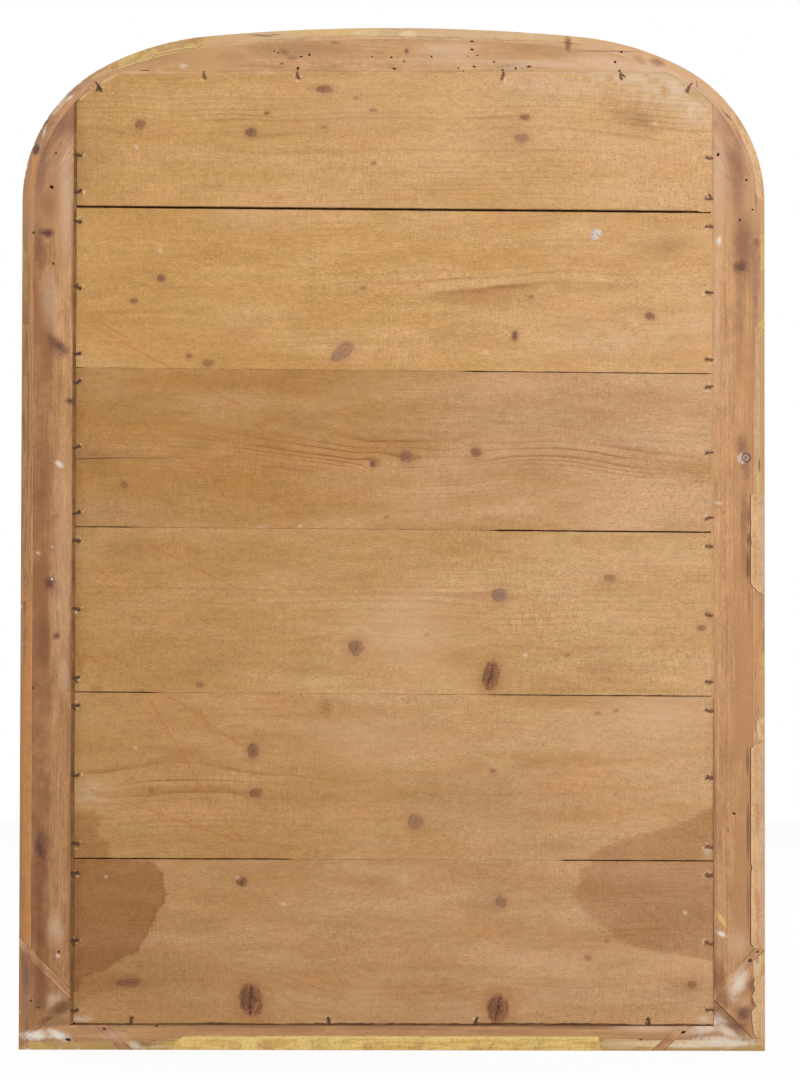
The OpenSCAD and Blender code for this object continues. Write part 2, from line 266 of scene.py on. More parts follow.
# Helpers for shapes
def wander(seed, step):  # a function that varies smoothly along a line, between -1 and 1
    turns = np.random.default_rng(seed).uniform(-1, 1, 256)

    def at(x):
        place = np.asarray(x, float) / step
        low = np.floor(place).astype(int)
        share = place - low
        share = share * share * (3 - 2 * share)
        return turns[low % 256] * (1 - share) + turns[(low + 1) % 256] * share
    return at


def smooth(value):
    share = np.clip(value, 0, 1)
    return share * share * (3 - 2 * share)


def cadPoints(node):
    points = np.empty(len(nodes[node].data.vertices) * 3)
    nodes[node].data.vertices.foreach_get("co", points)
    return points.reshape(-1, 3)


def newMesh(name, points, faces, sharp=40):
    mesh = bpy.data.meshes.new(name)
    mesh.from_pydata([tuple(p) for p in points], [], faces)
    mesh.polygons.foreach_set("use_smooth", [True] * len(mesh.polygons))
    mesh.set_sharp_from_angle(angle=math.radians(sharp))
    mesh.update()
    return mesh


def addPiece(name, mesh, material, replaced=()):
    made = bpy.data.objects.new(name, mesh)
    mesh.materials.append(material)
    bpy.context.scene.collection.objects.link(made)
    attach(made, "root")
    if replaced:
        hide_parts(*replaced)
    return made


def dress(node, material):
    slots = nodes[node].data.materials
    slots.clear()
    slots.append(material)


# Nails: square cut nails, each bent over in its own way where the drawn one lies
nailForm = {
    "leg": 14 * mm,  # how deep the driven leg is built
    "lift": 0.5 * mm,  # how far the bend and the head stand off
    "sides": 6, "rows": 11, "neck": 1.75 * mm, "tip": 0.8 * mm,  # half widths
    "headWide": 2.4 * mm, "headLong": 2.3 * mm, "headThick": 1.0 * mm, "bendRound": 2.2 * mm,
    "bow": 2.4, "hook": 2.2,  # how far the shank and its end may bend aside, in mm
    "headTurn": 0.7,  # radians
    "spurShare": 0.4,  # how many have a second, thinner brad beside them
    "spurLength": (5 * mm, 9 * mm), "spurWidth": 1.2 * mm,
    "spurTurn": (0.5, 1.2), "spurStart": (3, 7),  # radians, and mm from the hole
    "slot": "nail_iron", "bright": (124, 104, 92),
}
nailGroups = {  # how stout a group's nails are, and their iron
    "nails_left": (0.75, "rust_red_iron"), "nails_right": (1, "rusted_iron"),
    "nails_top": (0.8, "rust_red_iron"), "nails_bottom": (1, "rusted_iron"),
}
ironTones = {"rusted_iron": ((62, 38, 26), (108, 64, 40)), "rust_red_iron": ((96, 60, 42), (140, 90, 62))}


def nailPlaces(node):  # where each nail of a node goes in, and which way and how far it lies
    points = cadPoints(node)
    axis = 2 if node in ("nails_left", "nails_right") else 0
    points = points[points[:, axis].argsort()]
    breaks = np.nonzero(np.diff(points[:, axis]) > 8 * mm)[0] + 1
    places = []
    for group in np.split(points, breaks):
        root = group[group[:, 1] < backY - 8 * mm][:, [0, 2]].mean(0)
        far = np.hypot(*(group[:, [0, 2]] - root).T)
        head = group[far > far.max() - 3 * mm][:, [0, 2]].mean(0)
        length = math.hypot(*(head - root))
        places.append((root, (head - root) / length, length))
    return places


def nailDistance(x, z):  # from the nearest nail's shank
    best = np.full(x.shape, 1.0)
    for group in nailGroups:
        for root, way, length in nailPlaces(group):
            along = np.clip((x - root[0]) * way[0] + (z - root[1]) * way[1], 0, length)
            best = np.minimum(best, np.hypot(x - root[0] - way[0] * along, z - root[1] - way[1] * along))
    return best


# Backboards: sawn pine, each with its own tone, figure and marks. All places are in the picture's
# pixels. A knot is its middle, half width, half height and darkness, and may have a greyness and a
# tilt. A patch of figure, smudge or chalk wash is its middle, half width, half height and strength; a smudge
# below 0 is pale, and one wash is a painted highlight on a knot. The heart lies at a share of the board's
# height and some mm behind its back.
pixel = 1.4 * mm  # what one pixel of the picture covers on the back

boards = {
    1: {
        "tone": (188, 145, 97), "heart": (0.35, 45), "slope": -0.01, "ring": 4.2, "endDarkness": 0.9,
        "open": [(70, 270, 0.2), (612, 715, 0.2)], "shut": [(290, 560)], "ragged": 0.7, "left": 1.0,
        "knots": [
            (242, 882, 6, 5, 0.9), (129, 983, 13, 4.5, 0.72, 0.2, 3), (251, 1000, 12, 17, 1.0, 0.0, 8),
            (501, 902, 6, 6, 0.55, 1.0), (498, 1009, 11, 15, 0.95), (588, 958, 4, 3, 0.4),
            (607, 941, 3, 2, 0.5), (692, 985, 5, 4, 0.6),
        ],
        "figure": [(640, 930, 90, 12, 0.2), (400, 990, 200, 30, 0.2)],
        "smudge": [
            (404, 880, 6, 5, -0.5), (440, 1010, 30, 10, 0.25), (660, 905, 60, 30, 0.25),
            (685, 990, 25, 10, 0.5), (560, 990, 40, 10, 0.2), (696, 980, 16, 8, 0.3),
            (145, 968, 62, 36, 0.5), (488, 905, 18, 12, 0.45), (250, 850, 34, 14, -0.35),
            (365, 995, 22, 16, -0.35),
        ],
        "washAndGlint": [
            # (238, 878) is a painted highlight on the knot beside it
            (238, 878, 2, 1.6, 0.9), (283, 904, 2.5, 2, 0.6), (685, 913, 2, 2, 0.9),
            (106, 877, 1.2, 1.2, 0.7), (82, 1019, 9, 2.5, 0.7), (704, 1019, 8, 3, 0.6),
        ],
    },
    2: {
        "tone": (189, 146, 93), "heart": (0.6, 60), "slope": 0.012, "ring": 4.6, "endDarkness": 0.7,
        "open": [(76, 150, 0.2), (494, 715, 0.15)], "shut": [(158, 488)], "left": 1.0,
        "knots": [
            (253, 751, 6, 8, 0.8, 0.3), (256, 793, 7, 5, 0.75), (151, 791, 3, 3, 0.5),
            (493, 771, 3, 2, 0.5), (598, 713, 3, 2, 0.5), (616, 711, 3, 2, 0.5),
            (415, 822, 8, 8, 0.55, 0.7),
        ],
        "figure": [(170, 780, 110, 30, 0.8), (250, 730, 60, 30, 0.3)],
        "smudge": [
            (326, 706, 5, 9, 0.9), (140, 830, 30, 14, 0.15), (645, 705, 12, 6, 0.4),
            (665, 714, 55, 26, -0.65), (362, 735, 55, 26, -0.45), (480, 800, 74, 28, 0.5),
            (550, 846, 60, 12, 0.45), (95, 695, 20, 12, 0.25),
        ],
        "washAndGlint": [
            (708, 850, 4, 9, 0.6), (95, 788, 22, 6, 0.2), (92, 798, 14, 4, 0.25), (136, 748, 1.2, 1.2, 0.9),
        ],
    },
    3: {
        "tone": (196, 154, 99), "heart": (0.2, 70), "slope": 0.006, "ring": 5.0, "endDarkness": 1.1,
        "open": [(497, 715, 0.6)], "shut": [(132, 490)], "left": 2.3,
        "knots": [
            (356, 648, 8, 8, 0.85, 0.3), (499.5, 595, 8, 7, 0.65, 1.2), (491, 676, 9, 15, 0.9, 0.0, -6),
            (610, 578, 6, 4, 0.45), (702, 628, 4, 3, 0.6), (567, 655, 3, 2, 0.4),
            (427, 635, 3, 2, 0.4), (200, 685, 4, 3, 0.5),
        ],
        "figure": [(450, 620, 200, 40, 0.25)],
        "smudge": [
            (96, 688, 6, 3, 0.9), (140, 691, 6, 2, 0.9), (560, 660, 70, 20, 0.15), (615, 585, 25, 10, 0.3),
            (410, 632, 52, 40, -0.55), (92, 530, 18, 34, 0.4), (125, 548, 50, 16, 0.4),
            (215, 665, 22, 14, 0.35), (305, 665, 16, 14, 0.35),
        ],
        "washAndGlint": [(525, 655, 2, 2, 0.9)],
    },
    4: {
        "tone": (183, 137, 80), "heart": (0.62, 26), "slope": 0.05, "ring": 3.6, "endDarkness": 1.0, "right": 1.6,
        "open": [(472, 487, 0.5)], "shut": [(84, 462)], "left": 1.9,
        "knots": [
            (406.5, 457, 7, 6, 0.7, 0.7), (476, 452, 5, 5, 0.75, 0.3), (124.5, 485, 4, 4, 0.6),
            (373, 464, 3, 4, 0.9, 0.6, 20),
        ],
        "figure": [(330, 452, 190, 22, 1.0), (600, 455, 140, 24, 0.5), (160, 440, 80, 30, 0.35)],
        "smudge": [
            (386.5, 517, 2.5, 1.2, 1.6), (110, 400, 40, 26, 0.25), (550, 430, 140, 46, 0.38),
            (95, 455, 20, 14, 0.85), (108, 515, 44, 16, 0.5), (305, 425, 26, 14, 0.35),
            (270, 445, 8, 6, 0.5), (325, 443, 7, 5, 0.5), (130, 500, 70, 20, 0.15),
        ],
        "washAndGlint": [(300, 526, 1.6, 1.2, 0.8), (262, 527, 6, 1.4, 0.3)],
    },
    5: {
        "tone": (203, 157, 96), "heart": (0.45, 55), "slope": -0.008, "ring": 4.8, "endDarkness": 0.25,
        "open": [], "shut": [], "left": 1.0,
        "knots": [
            (161, 278, 4, 4, 0.8, 0.2), (134, 301, 4, 3, 0.7), (189, 356, 3, 3, 0.6),
            (208, 363, 5, 4, 0.6), (342, 352, 14, 7, 0.5, 0.9, 38), (363, 288, 3, 2, 0.4),
            (515, 336, 3, 5, 0.9, 0.6), (650, 316, 5, 4, 0.8, 0.1), (531, 297, 3, 2, 0.5),
        ],
        "figure": [(520, 288, 110, 16, 0.7), (130, 300, 60, 20, 0.3)],
        "smudge": [
            (667, 245, 22, 12, 0.65), (245, 218, 34, 14, -0.35), (455, 335, 26, 14, 0.35),
            (230, 330, 60, 20, 0.15), (697, 318, 18, 28, -0.4),
        ],
        "washAndGlint": [
            (160, 250, 2, 2, 0.9), (485, 352, 3, 2, 0.8), (620, 340, 60, 20, 0.2), (567, 434, 2, 2, 1),
        ],
    },
    6: {
        "tone": (204, 160, 102), "heart": (0.5, 35), "slope": 0.015, "ring": 4.0, "endDarkness": 1.0,
        "open": [], "shut": [(60, 730)], "left": 1.1,
        "knots": [
            (140, 124, 5, 5, 0.7, 0.2), (251, 132, 6, 5, 0.8, 0.5), (267, 113, 3, 2, 0.7),
            (324, 89, 9, 4, 0.8), (373, 110, 4, 2, 0.7), (356, 98, 3, 2, 0.5),
            (324, 127, 3, 2, 0.5), (374, 163, 3, 2, 0.5, 0.2), (525, 117, 5, 3, 0.7, 0.2),
            (522, 138, 8, 5, 0.45, 0.9),
        ],
        "figure": [(270, 120, 140, 22, 0.5), (660, 100, 60, 30, 0.4), (520, 120, 60, 20, 0.4)],
        "smudge": [
            (640, 118, 16, 8, 0.9), (622, 112, 12, 3, 0.7), (510, 148, 26, 8, 0.35),
            (355, 112, 50, 24, -0.35), (650, 132, 10, 5, 0.6), (502, 126, 30, 12, 0.4),
            (93, 155, 18, 22, 0.45), (530, 95, 34, 12, 0.25),
        ],
        "washAndGlint": [
            (670, 88, 40, 18, 0.55), (635, 78, 50, 8, 0.5), (695, 108, 18, 16, 0.5), (136, 147, 2, 2, 0.9),
            (560, 85, 60, 12, 0.25), (655, 123, 2, 2, 0.7),
        ],
    },
}

plank = {
    "spacing": 2.2 * mm,  # between the points of a board's back
    "near": (0, 0.3, 0.7, 1.3, 2.1),  # rows beside an edge, in mm
    "arris": 1.1 * mm,  # how far the edges are worn round
    "cup": 0.35 * mm,
    "edgeWander": 0.25 * mm,
    "slot": "board_pine",
    "headStep": (697, 1.7),  # where the open joint under the top board narrows, and by how much in mm
    "openShares": (0.3, 0.8),  # how much the boards above and below an opening each give up
    "shutShare": 0.43,  # how much of a gap each board closes where a joint is shut
    "topShut": 2.25,  # how many times that the top board closes under the rail
    "endWaver": 0.35 * mm,
    "splitDepth": 0.9 * mm, "splitWide": 0.8,  # in pixels
    "topGap": 0.8 * mm,  # between the top board and the rail
    "pocket": 72 * mm, "endShut": 0.95, "endNear": 5 * mm,  # the pocket's side, and the boards' tight end
}

crayonStrokes = [
    [(90, 325), (240, 405)], [(113, 432), (129, 447)], [(145, 425), (158, 441), (147, 454)],
    [(165, 441), (184, 462), (216, 478), (225, 487)], [(196, 431), (232, 442), (256, 470)],
    [(85, 655), (205, 715)],
    [(90, 790), (245, 843)], [(245, 843), (215, 810), (150, 700)], [(80, 310), (130, 340)],
    [(150, 545), (240, 590)], [(175, 700), (240, 745)],
]
splitLine = [(76, 459), (120, 457.5), (182, 459)]
stainEdges = {
    1: [  # the outlines of the damp stains, and how dark they are
        ([(60, 860), (148, 860), (163, 872), (166, 895), (156, 918), (146, 938), (138, 950), (118, 962),
          (95, 976), (80, 992), (60, 996)], 1.3),
        ([(76, 970), (112, 972), (142, 980), (112, 988), (76, 1000)], 0.6),
        ([(720, 855), (598, 855), (582, 872), (575, 895), (586, 912), (606, 926), (618, 940),
          (652, 950), (720, 964)], 0.75),
        ([(720, 960), (652, 952), (608, 944), (660, 962), (720, 975)], -0.25),
    ],
    2: [
        ([(60, 865), (60, 814), (92, 812), (101, 818), (97, 835), (110, 848), (108, 865)], 0.8),
        ([(720, 865), (582, 865), (596, 852), (624, 838), (660, 830), (690, 818), (720, 804)], 0.85),
    ],
}


def fineRows(length):  # shares of a length, closer together near its ends
    near = np.array(plank["near"]) * mm
    count = max(2, round((length - 2 * near[-1]) / plank["spacing"]))
    middle = np.linspace(near[-1], length - near[-1], count + 1)
    return np.concatenate([near[:-1], middle, (length - near[:-1])[::-1]]) / length


def edgesOf(node):  # the lower and upper edge of a board's back, as functions of x
    points = cadPoints(node)
    back = points[points[:, 1] > points[:, 1].max() - 0.01 * mm][:, [0, 2]]
    hull = back[geometry.convex_hull_2d([tuple(p) for p in back])]
    left, right = hull[:, 0].min(), hull[:, 0].max()
    ends = [hull[abs(hull[:, 0] - x) < 0.01 * mm][:, 1] for x in (left, right)]
    lowLine = np.interp(hull[:, 0], (left, right), [e.min() for e in ends])
    highLine = np.interp(hull[:, 0], (left, right), [e.max() for e in ends])
    lower = hull[hull[:, 1] < lowLine + 0.01 * mm]
    upper = hull[hull[:, 1] > highLine - 0.01 * mm]
    lower, upper = lower[lower[:, 0].argsort()], upper[upper[:, 0].argsort()]
    return (left, right, lambda x: np.interp(x, lower[:, 0], lower[:, 1]),
            lambda x: np.interp(x, upper[:, 0], upper[:, 1]))


def within(px, start, end, soft):
    return smooth((px - start) / soft + 0.5) - smooth((px - end) / soft + 0.5)


def openings(px, spans):  # how much further an open joint stands apart
    return sum((depth * mm * within(px, start, end, 8) for start, end, depth in spans), np.zeros_like(px))


def shutness(px, spans):  # 1 where a joint is shut, 0 where it shows
    return sum((within(px, start, end, 14) for start, end in spans), np.zeros_like(px))


def lineDistance(px, py, points):  # signed distance to a line of points
    best = np.full(px.shape, 1e3)
    signed = np.full(px.shape, 1e3)
    for (ax, ay), (bx, by) in zip(points, points[1:]):
        length = math.hypot(bx - ax, by - ay)
        ux, uy = (bx - ax) / length, (by - ay) / length
        along = (px - ax) * ux + (py - ay) * uy
        aside = (py - ay) * ux - (px - ax) * uy
        past = np.maximum(0, np.maximum(-along, along - length))
        far = np.hypot(aside, past)
        closer = far < best
        best = np.where(closer, far, best)
        signed = np.where(closer, np.where(past > 0, np.copysign(far, aside), aside), signed)
    return signed


def inside(px, py, points):  # distance in from an outline, negative outside it
    ring = points + points[:1]
    far = abs(lineDistance(px, py, ring))
    crossings = np.zeros(px.shape, int)
    for (ax, ay), (bx, by) in zip(ring, ring[1:]):
        if ay == by:
            continue
        spans = (ay > py) != (by > py)
        crossings += spans & (px < ax + (py - ay) / (by - ay) * (bx - ax))
    return np.where(crossings % 2 == 1, far, -far)


def patches(px, py, places):  # soft round patches, the strongest winning
    total = np.zeros(px.shape)
    for cx, cy, rx, ry, strength in places:
        glow = strength * np.exp(-(((px - cx) / rx) ** 2 + ((py - cy) / ry) ** 2))
        total = np.where(abs(glow) > abs(total), glow, total)
    return total


def boardFields(number, x, y, z, middleZ, height, edge, shut):  # what the finish reads at each point
    values = boards[number]
    px, py = eye.picture(x, np.full_like(x, backY), z)
    shape = x.shape
    ratio, dark, grey = np.full(shape, 9.0), np.zeros(shape), np.zeros(shape)
    local = np.zeros((*shape, 3))
    lifted = z.copy()
    for kx, ky, rx, ry, depth, *more in values["knots"]:
        dull, tilt = (*more, 0, 0)[:2]
        turn = math.radians(tilt)
        dx, dy = px - kx, ky - py
        u = (dx * math.cos(turn) + dy * math.sin(turn)) / rx
        v = (dy * math.cos(turn) - dx * math.sin(turn)) / ry
        here = np.hypot(u, v)
        lifted -= dy * pixel * 0.9 * np.exp(-(dx / (4.5 * rx)) ** 2 - (dy / (2.0 * ry)) ** 2)
        closer = here < ratio
        ratio = np.where(closer, here, ratio)
        dark = np.where(closer, depth, dark)
        grey = np.where(closer, dull, grey)
        local = np.where(closer[..., None], np.stack([u, v, np.full(shape, kx)], -1), local)
    share, depth = values["heart"]
    drift = wander(number * 7 + 1, 0.21)(x) * 9 * mm + wander(number * 7 + 2, 0.08)(x) * 2.5 * mm
    heartZ = middleZ + (share - 0.5) * height + values["slope"] * x + drift
    heartY = y - backY - depth * mm + wander(number * 7 + 3, 0.3)(x) * 7 * mm
    ring = np.hypot(lifted - heartZ, heartY) / (values["ring"] * mm)
    stain, wet = np.full(shape, -30.0), np.zeros(shape)
    for outline, strength in stainEdges.get(number, []):
        depthIn = inside(px, py, outline)
        stain = np.where(depthIn > stain, depthIn, stain)
        wet = np.where(depthIn >= stain - 1e-6, strength, wet)
    crayon = np.full(shape, 1e3)
    for stroke in crayonStrokes:
        aside = lineDistance(px, py, stroke)
        crayon = np.where(abs(aside) < abs(crayon), aside, crayon)
    return {
        "ring": ring, "knotRatio": ratio, "knotDark": dark, "knotGrey": grey, "knotPlace": local,
        "figure": patches(px, py, values["figure"]), "smudge": patches(px, py, values["smudge"]),
        "washAndGlint": patches(px, py, values["washAndGlint"]), "stain": np.clip(stain, -30, 30), "wet": wet,
        "crayon": np.clip(crayon, -20, 20), "split": np.clip(lineDistance(px, py, splitLine), -20, 20),
        "edge": edge / mm, "shut": shut, "nail": np.minimum(nailDistance(x, z) / mm, 30),
    }


def addFields(mesh, fields):
    for name, values in fields.items():
        kind, key = ("FLOAT_VECTOR", "vector") if values.ndim == 2 else ("FLOAT", "value")
        made = mesh.attributes.new(name, kind, "POINT")
        made.data.foreach_set(key, values.astype(np.float32).ravel())


def sawnBoard(number):
    values = boards[number]
    node = f"backboard_{number}"
    low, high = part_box(node)
    left, right, lowerAt, upperAt = edgesOf(node)
    left -= (left + halfWidth - plank["pocket"]) * plank["endShut"]  # the end at the picture's right is tight
    s, t = fineRows(right - left), fineRows(high.z - low.z)
    along, across = np.meshgrid(s, t, indexing="ij")
    x = left + along * (right - left)
    px = eye.picture(x, backY, (lowerAt(x) + upperAt(x)) / 2)[0]
    rough = plank["edgeWander"]
    foot = lowerAt(x) + rough * wander(number + 20, 0.012)(x) * (0.3 + abs(wander(number + 30, 0.09)(x)))
    head = upperAt(x) - abs(rough * wander(number + 40, 0.015)(x))
    headShut, footShut = shutness(px, values["shut"]), np.zeros_like(px)
    headGap = edgesOf(f"backboard_{number + 1}")[2](x) - upperAt(x) if number < 6 else plank["topGap"]
    if number > 1:
        foot += openings(px, boards[number - 1]["open"]) * plank["openShares"][0]
        footShut = shutness(px, boards[number - 1]["shut"])
        foot -= footShut * plank["shutShare"] * (lowerAt(x) - edgesOf(f"backboard_{number - 1}")[3](x))
    else:
        foot += values["ragged"] * mm * (wander(51, 0.007)(x) * 0.7 + wander(52, 0.05)(x) * 1.3) - 0.6 * mm
    if number == 6:
        start, step = plank["headStep"]
        foot -= step * mm * smooth((px - start) / 4)
    close = plank["shutShare"] * (plank["topShut"] if number == 6 else 1)
    head += headShut * close * headGap - openings(px, values["open"]) * plank["openShares"][1]
    z = foot + across * (head - foot)
    shut = headShut * (across > 0.5) + footShut * (across <= 0.5)
    shut = np.maximum(shut, 0.9 * smooth((left + plank["endNear"] - x) / (2 * mm)))
    x = x + plank["endWaver"] * wander(number + 60, 0.03)(z) * (abs(along - 0.5) > 0.49)
    sides = np.stack([x - left, right - x, z - foot, head - z]).min(0)
    worn = plank["arris"] * (0.7 + 0.5 * wander(number + 70, 0.05)(x + z)) * (1 - 0.93 * shut)
    drop = worn * (1 - np.sqrt(1 - np.clip(1 - sides / worn, 0, 1) ** 2))
    px, py = eye.picture(x, np.full_like(x, high.y), z)
    groove = plank["splitDepth"] * np.exp(-(lineDistance(px, py, splitLine) / plank["splitWide"]) ** 2)
    cup = plank["cup"] * (wander(number + 80, 0.45)(x) + (2 * across - 1) ** 2 - 0.5)
    y = high.y - drop - groove + cup
    rowCount, columnCount = x.shape[1], x.shape[0]
    grid = np.arange(x.size).reshape(x.shape)
    loop = np.concatenate([grid[0, :], grid[1:, -1], grid[-1, -2::-1], grid[-2:0:-1, 0]])
    front = np.arange(len(loop)) + x.size
    backFaces = np.stack([grid[:-1, :-1], grid[:-1, 1:], grid[1:, 1:], grid[1:, :-1]], -1).reshape(-1, 4)
    sideFaces = np.stack([np.roll(loop, -1), loop, front, np.roll(front, -1)], -1)
    headEnd = rowCount + columnCount - 2  # place in the loop of the head's far corner
    leftSide, top = front[:rowCount], front[rowCount - 1:headEnd + 1]
    rightSide = front[headEnd:headEnd + rowCount]
    foot = np.concatenate([front[:1], front[headEnd + rowCount - 1:][::-1]])
    frontFaces = [[foot[i], foot[i + 1], top[i + 1], top[i]] for i in range(1, columnCount - 2)]
    frontFaces.append([foot[0], foot[1], top[1], *leftSide[:0:-1]])
    frontFaces.append([foot[-2], foot[-1], *rightSide[-2::-1], top[-2]])
    faces = backFaces.tolist() + sideFaces.tolist() + frontFaces
    points = np.stack([x.ravel(), y.ravel(), z.ravel()], -1)
    frontPoints = points[loop].copy()
    frontPoints[:, 1] = low.y
    points = np.concatenate([points, frontPoints])
    mesh = newMesh(f"pine_board_{number}", points, [[int(i) for i in f] for f in faces])
    edge = np.concatenate([sides.ravel(), np.zeros(len(loop))])
    shut = np.concatenate([shut.ravel(), np.zeros(len(loop))])
    middle = (lowerAt(0) + upperAt(0)) / 2
    addFields(mesh, boardFields(number, points[:, 0], points[:, 1], points[:, 2], middle,
                                high.z - low.z, edge, shut))
    return addPiece(f"pine_board_{number}", mesh, boardFinish(number), [node])


boardPaint = {
    "pale": (224, 182, 145), "deep": (164, 112, 52), "latewood": (160, 104, 56), "warm": (208, 142, 98),
    "knotBody": (154, 103, 72), "knotDark": (92, 60, 42), "knotLine": (72, 44, 30),
    "knotGrey": (148, 114, 104), "halo": (166, 114, 70), "dirt": (108, 70, 40), "crayon": (186, 106, 56),
    # gap: painted shade for the open joints and the split
    "chalk": (230, 210, 188), "gap": (58, 36, 22), "shutLine": (164, 118, 78), "fleck": (148, 98, 52),
    "rust": (116, 68, 38), "chip": (232, 200, 162),
    "stain": (0.71, 0.60, 0.50, 1), "tide": (0.82, 0.74, 0.66, 1), "endTint": (0.80, 0.77, 0.72, 1),
    "roughness": 0.72, "specular": 0.22, "bump": 0.45, "bumpDistance": 0.5 * mm,
}
boardCover = {  # how strongly each paint or stain covers the wood
    "warm": 0.3, "fleck": 0.6, "halo": 0.55, "stain": 0.85, "tide": 0.35, "dirt": 0.46, "pale": 0.75,
    "crayon": 0.5, "joint": 0.4, "split": 0.75, "shutLine": 0.5, "topLine": 0.25, "rust": 0.6,
    "chip": 0.6, "chalk": 0.6,
}
boardLight = {  # how much each kind of grain changes the lightness
    "fibre": 0.25, "saw": 0.4, "mottle": 0.46, "grit": 0.9, "dashes": 0.7, "blotch": 0.16,
}


def knotShade(tree, colour, paint):  # knots, with the grain darkened round them
    u, v, kind = tree.parts(tree.field("knotPlace", "Vector"))
    dark, grey = tree.field("knotDark"), tree.field("knotGrey")
    far = tree.length(tree.add("CombineXYZ", None, {0: u, 1: v}))
    ratio = far.most(tree.field("knotRatio") * 0.8)
    coarse = tree.swing(130, 3, roughness=0.6)
    fine = tree.swing(420, 2)
    shape = ratio + coarse * 0.5 + fine * 0.12
    halo = tree.fall(ratio + coarse * 1.5, 0.7, 2.3) * dark
    colour = tree.coat(colour, paint["halo"], halo * boardCover["halo"])
    spin = v.angle(u)
    lobes = tree.add("TexNoise", {"noise_dimensions": "1D"},
                     {"W": spin * 0.7 + kind, "Scale": 1.3, "Detail": 2.0})
    lean = u * -0.9 + v * 0.25 + coarse * 1.1  # above zero on the knot's dark side
    crescent = tree.rise(lean, 0.0, 0.6)
    split = tree.fall(abs(lean - 0.02), 0.03, 0.12)
    body = tree.fall(shape, 0.7, 1.15)
    core = tree.fall(shape + lobes, 0.7, 1.35)
    rim = tree.between(shape, 0.76, 0.98, 0.1) * tree.rise(lobes, 0.45, 0.6)
    growth = (ratio * 24 + coarse * 8).wave() * 0.13
    knot = tree.coat(tint(*paint["knotBody"]), paint["knotGrey"], grey * 0.8)
    black = (crescent * (dark * 0.8 - 0.1).most(0)).most(core * dark * 0.75)
    knot = tree.coat(knot, paint["knotDark"], black)
    knot = tree.shade(knot, 1 + growth + fine * 0.5)
    colour = tree.mix(colour, knot, body * (dark * 0.75 + 0.2))
    lines = (rim * 0.5).most(split * body * tree.rise(dark, 0.74, 0.9) * 0.85) * dark
    return tree.coat(colour, paint["knotLine"], lines), lines


